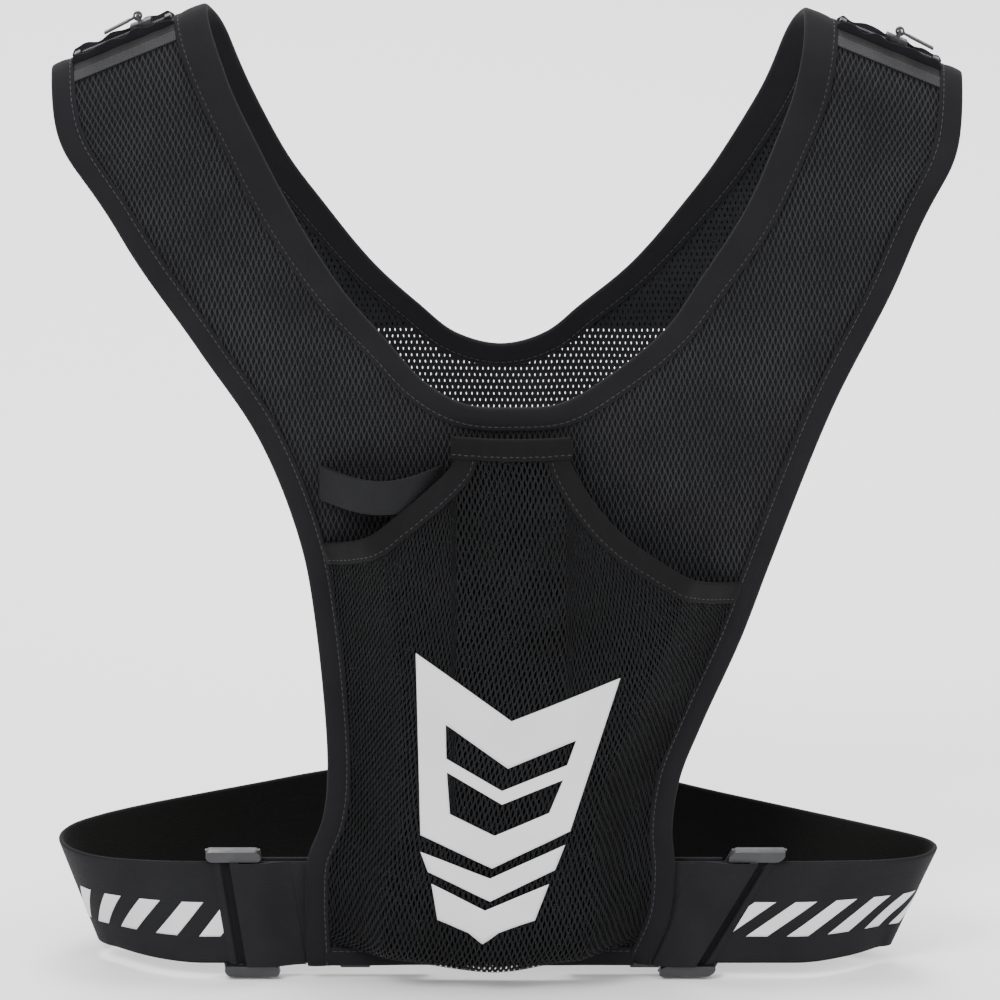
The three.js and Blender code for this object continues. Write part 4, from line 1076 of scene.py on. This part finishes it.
def addStrap(name, node, xFrom, xTo, y, wall, inset, body):
    # a short flat run of webbing, slightly slack in the middle
    x, z = np.meshgrid(np.linspace(xFrom, xTo, 40),
                       np.linspace(belt["low"] + inset, belt["high"] - inset, 20))
    slack = 0.25 * np.sin(math.pi * (x - xFrom) / (xTo - xFrom)) * np.sin(z / 6)
    near = np.stack([x, y + slack, z], -1)
    far = near + np.array([0, wall, 0])
    piece = addPlate(name, near, far, np.stack([x, z - belt["low"]], -1), "elastic", "belt_elastic",
                     body=body, stands=(node,))
    soften(piece, 0.5, 3)


def boxStitch(name, surface, x, z, lift):
    # a rectangle with its two diagonals
    corners = [np.array(c, float) for c in ((x[0], z[0]), (x[1], z[0]), (x[1], z[1]), (x[0], z[1]))]
    pairs = ((0, 1), (1, 2), (2, 3), (3, 0), (0, 2), (1, 3))
    lines = [np.linspace(corners[a], corners[b], 30) for a, b in pairs]
    addStitches(name, surface, lines, lift, slot="belt_elastic")


strapRun = {"returnY": 16.5, "returnEnd": 28.0, "tabY": 14.3, "tabEnd": 32.0, "tabTip": 51.7,
            "tabWall": 1.6}
boxes = {"tabX": (35, 48), "tabZ": (8, 38), "frontX": (41.0, 56.0), "frontZ": (9.0, 37.0)}


def addBuckle(sideName):
    side, body = beltSides[sideName]["side"], sideName + "_buckle"
    roundedCopy(sideName + "_tri_glide", sideName + "_adjuster", "plastic",
                buckle["edge"], body)
    for sleeveName in sleeves:
        addSleeve(sideName, sleeveName)
    ends = sorted((side * strapRun["returnEnd"], side * beltSides[sideName]["adjusterX"]))
    addStrap(sideName + "_return_strap", sideName + "_belt_return", *ends, strapRun["returnY"],
             belt["wall"], 0, body)
    roundedCopy(sideName + "_ring", sideName + "_belt_ring", "plastic",
                buckle["ringEdge"])
    ends = sorted((side * strapRun["tabEnd"], side * strapRun["tabTip"]))
    addStrap(sideName + "_tab", sideName + "_ring_tab", *ends, strapRun["tabY"], strapRun["tabWall"], 1,
             "garment")
    tabBack = flatSurface(strapRun["tabY"] + strapRun["tabWall"] + 0.1, 1)
    boxStitch(sideName + "_tab_stitching", tabBack, sorted(side * x for x in boxes["tabX"]),
              boxes["tabZ"], 0)
    boxStitch(sideName + "_belt_end_stitching", bodySurface, sorted(side * x for x in boxes["frontX"]),
              lengthAt(np.array(boxes["frontZ"]), True), 0.5)


for sideName in beltSides:
    addBuckle(sideName)
print("buckles done")


# shoulder zips

zipper = {"run": 18.0, "tapeWidth": 8.4, "tapeLow": 0.65, "tapeWall": 0.5, "tuck": 1.4, "hemWidth": 4.6,
          "stop": 2.7, "coreHalf": 0.9, "coreLow": 1.25, "coreHigh": 2.2, "toothPitch": 0.85,
          "toothShift": 0.62, "toothLift": 2.1, "flapHeight": 5.0}
teeth = {"pitch": zipper["toothPitch"], "length": 1.9, "radius": 0.36, "sink": 0.25}


def strapInner(s, side, room):
    return neckX(s, side, lambda lengths: neckWidth(lengths) + room)


def addStrip(name, xs, ss, low, high, look, wave=0.0, stands=()):
    # a flat strip between two lifts over the cloth, puckered along its length
    x, s = np.meshgrid(np.linspace(*xs, 60), np.linspace(*ss, 8))
    base, normal = bodySurface(x, s)
    pucker = wave * np.sin(x / 1.9 + 2 * np.sin(x / 7)) * np.sin(math.pi * (s - ss[0]) / (ss[1] - ss[0]))
    upper, under = (base + normal * (lift + pucker)[..., None] for lift in (high, low))
    piece = addPlate(name, upper, under, np.stack([x, s - ss[0]], -1), look, "zip_tape", stands=stands)
    soften(piece, 0.15)


def addFlap(name, span, s, height, phase):
    # gathered tape that stands beside the coil in uneven waves, leaning fore and aft by a second wave
    x, w = np.meshgrid(np.linspace(span[0] + 0.3, span[1] - 0.3, 130), np.linspace(0, 1, 10))
    waves = 0.14 * np.sin(x / 2.6 + phase + 1.4 * np.sin(x / 6)) + 0.08 * np.sin(x / 1.3 + 2 * phase)
    ends = np.minimum(smooth((x - span[0] + 1.5) / 4), smooth((span[1] + 1.5 - x) / 4))
    base, normal = bodySurface(x, np.full_like(x, s))
    lean = 0.3 * w**2 + 0.6 * w * np.sin(x / 2.3 + phase + 1.5 * np.sin(x / 6.1))
    aft = np.stack([0 * x, np.ones_like(x), 0 * x], -1)
    tall = height * (0.82 + waves) * ends
    points = base + normal * (1.0 + tall * w)[..., None] + aft * lean[..., None]
    soften(addSheet(name, points, np.stack([x, w * height], -1), "flap", "zip_tape", 0.6), 0.12)


def addZip(sideName, side):
    end, middle = seamLength + zipper["run"], seamLength + zipper["run"] / 2
    inner, outer = strapInner(middle, side, 0.6), sideX(middle, side, fold["side"] + 0.6)
    span = sorted((inner - side * zipper["tuck"], outer + side * zipper["tuck"]))
    low, high = zipper["tapeLow"], zipper["tapeLow"] + zipper["tapeWall"]
    hemStart = seamLength - zipper["hemWidth"]
    strips = (
        ("zip_tape_rear", "zip_tape_back", (seamLength - 0.2, seamLength + zipper["tapeWidth"]), "zipTape"),
        ("zip_tape_fore", "zip_tape_front", (end - zipper["tapeWidth"], end + 1.5), "zipTape"),
        ("hem_band", "shoulder_hem", (hemStart, seamLength), "grosgrain"),
    )
    for name, node, reach, look in strips:
        extra, wave = (0.15, 0.1) if look == "grosgrain" else (0, 0.12)
        addStrip(f"{sideName}_{name}", span, reach, low, high + extra, look, wave, (f"{sideName}_{node}",))
    for k, s in enumerate((hemStart + 0.8, seamLength - 0.8, end - 0.9)):
        line = np.stack([np.linspace(*span, 60), np.full(60, s)], 1)
        addStitches(f"{sideName}_zip_stitching_{k + 1}", bodySurface, [line], high + 0.15, slot="zip_tape")
    start, stop = inner + side * zipper["stop"], outer - side * zipper["stop"]
    coreReach = (middle - zipper["coreHalf"], middle + zipper["coreHalf"])
    addStrip(sideName + "_coil_core", sorted((start, stop)), coreReach, zipper["coreLow"],
             zipper["coreHigh"], "zipTape")
    line = np.linspace(start, stop, 80)
    rows = [np.stack([line + shift, np.full(80, middle + k * zipper["toothShift"])], 1)
            for k, shift in ((-1, 0.0), (1, zipper["toothPitch"] / 2))]
    coil = addStitches(sideName + "_coil_teeth", bodySurface, rows, zipper["toothLift"], slot="zip_tape",
                       look="coil", turned=True, **teeth)
    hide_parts(sideName + "_zip_coil")
    for which in ("inner", "outer"):
        roundedCopy(f"{sideName}_stop_{which}", f"{sideName}_zip_stop_{which}", "enamel", 0.35)
    for piece, node, body in (("slider_body", "zip_slider", "slider"), ("pull_tab", "zip_pull", "pull")):
        roundedCopy(f"{sideName}_{piece}", f"{sideName}_{node}", "enamel", 0.28,
                    f"{sideName}_{body}")
    height = zipper["flapHeight"]
    addFlap(sideName + "_zip_flap_rear", span, seamLength + 3.6, height, 0.8 * side)
    addFlap(sideName + "_zip_flap_fore", span, seamLength + 14.8, height - 0.6, 2.4 * side)


chest = {"height": 7.7, "end": 238.0, "edge": 0.85, "wall": 0.5, "tuck": 1.2, "slackWide": 1.12,
         "slackLong": 1.05}


def addChestPocket(sideName, side):
    # swells off the strap: (1 - across ^ 4), eased in and out along the strap
    start, end = seamLength + zipper["run"] - 0.5, lengthAt(chest["end"], True)
    s = np.linspace(start, end, 90)[:, None]
    innerEdge = strapInner(s[:, 0], side, -chest["tuck"])
    outerEdge = sideX(s[:, 0], side, fold["side"] - chest["tuck"])
    edges = np.sort(np.stack([innerEdge, outerEdge], 1), 1)
    t = np.linspace(0, 1, 44)[None, :]
    x = edges[:, :1] + (edges[:, 1:] - edges[:, :1]) * t
    along = (s - start) / (end - start)
    share = (1 - (2 * t - 1) ** 4) * smooth(along * 4) * smooth((1 - along) * 4)
    slack = 0.5 * np.sin(x / 6 + s / 21) * np.sin(s / 15 - x / 23) + 0.35 * np.sin(s / 6.5 + x / 9)
    s = s + 0 * x
    base, normal = bodySurface(x, s)
    lift = chest["edge"] + (chest["height"] + slack) * share
    points = base + normal * lift[..., None]
    piece = addSheet(sideName + "_chest_pocket_cloth", points, np.stack([x, s], -1), "lined",
                     "pocket_mesh", chest["wall"], stands=(sideName + "_chest_pocket",))
    for k, inset in enumerate((0.8, 3.4)):
        line = np.stack([np.linspace(*edges[-1], 40), np.full(40, end - inset)], 1)
        addStitches(f"{sideName}_chest_stitching_{k + 1}", bodySurface, [line],
                    chest["edge"] + 0.3 + k * 0.1)


for sideName, side in (("left", -1), ("right", 1)):
    addZip(sideName, side)
    addChestPocket(sideName, side)
print("zips and chest pockets done")


# floor

def addFloor():
    half, low = studio["floorHalf"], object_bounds()[0].z - studio["floorDrop"]
    mesh = bpy.data.meshes.new("floor")
    corners = [(-half, -half, low), (half, -half, low), (half, half, low), (-half, half, low)]
    mesh.from_pydata(corners, [], [(0, 1, 2, 3)])
    material, _, _ = startMaterial("paleFloor", studio["floor"], 0.9, Specular_IOR_Level=0.2)
    mesh.materials.append(material)
    addObject("floor", mesh)


addFloor()
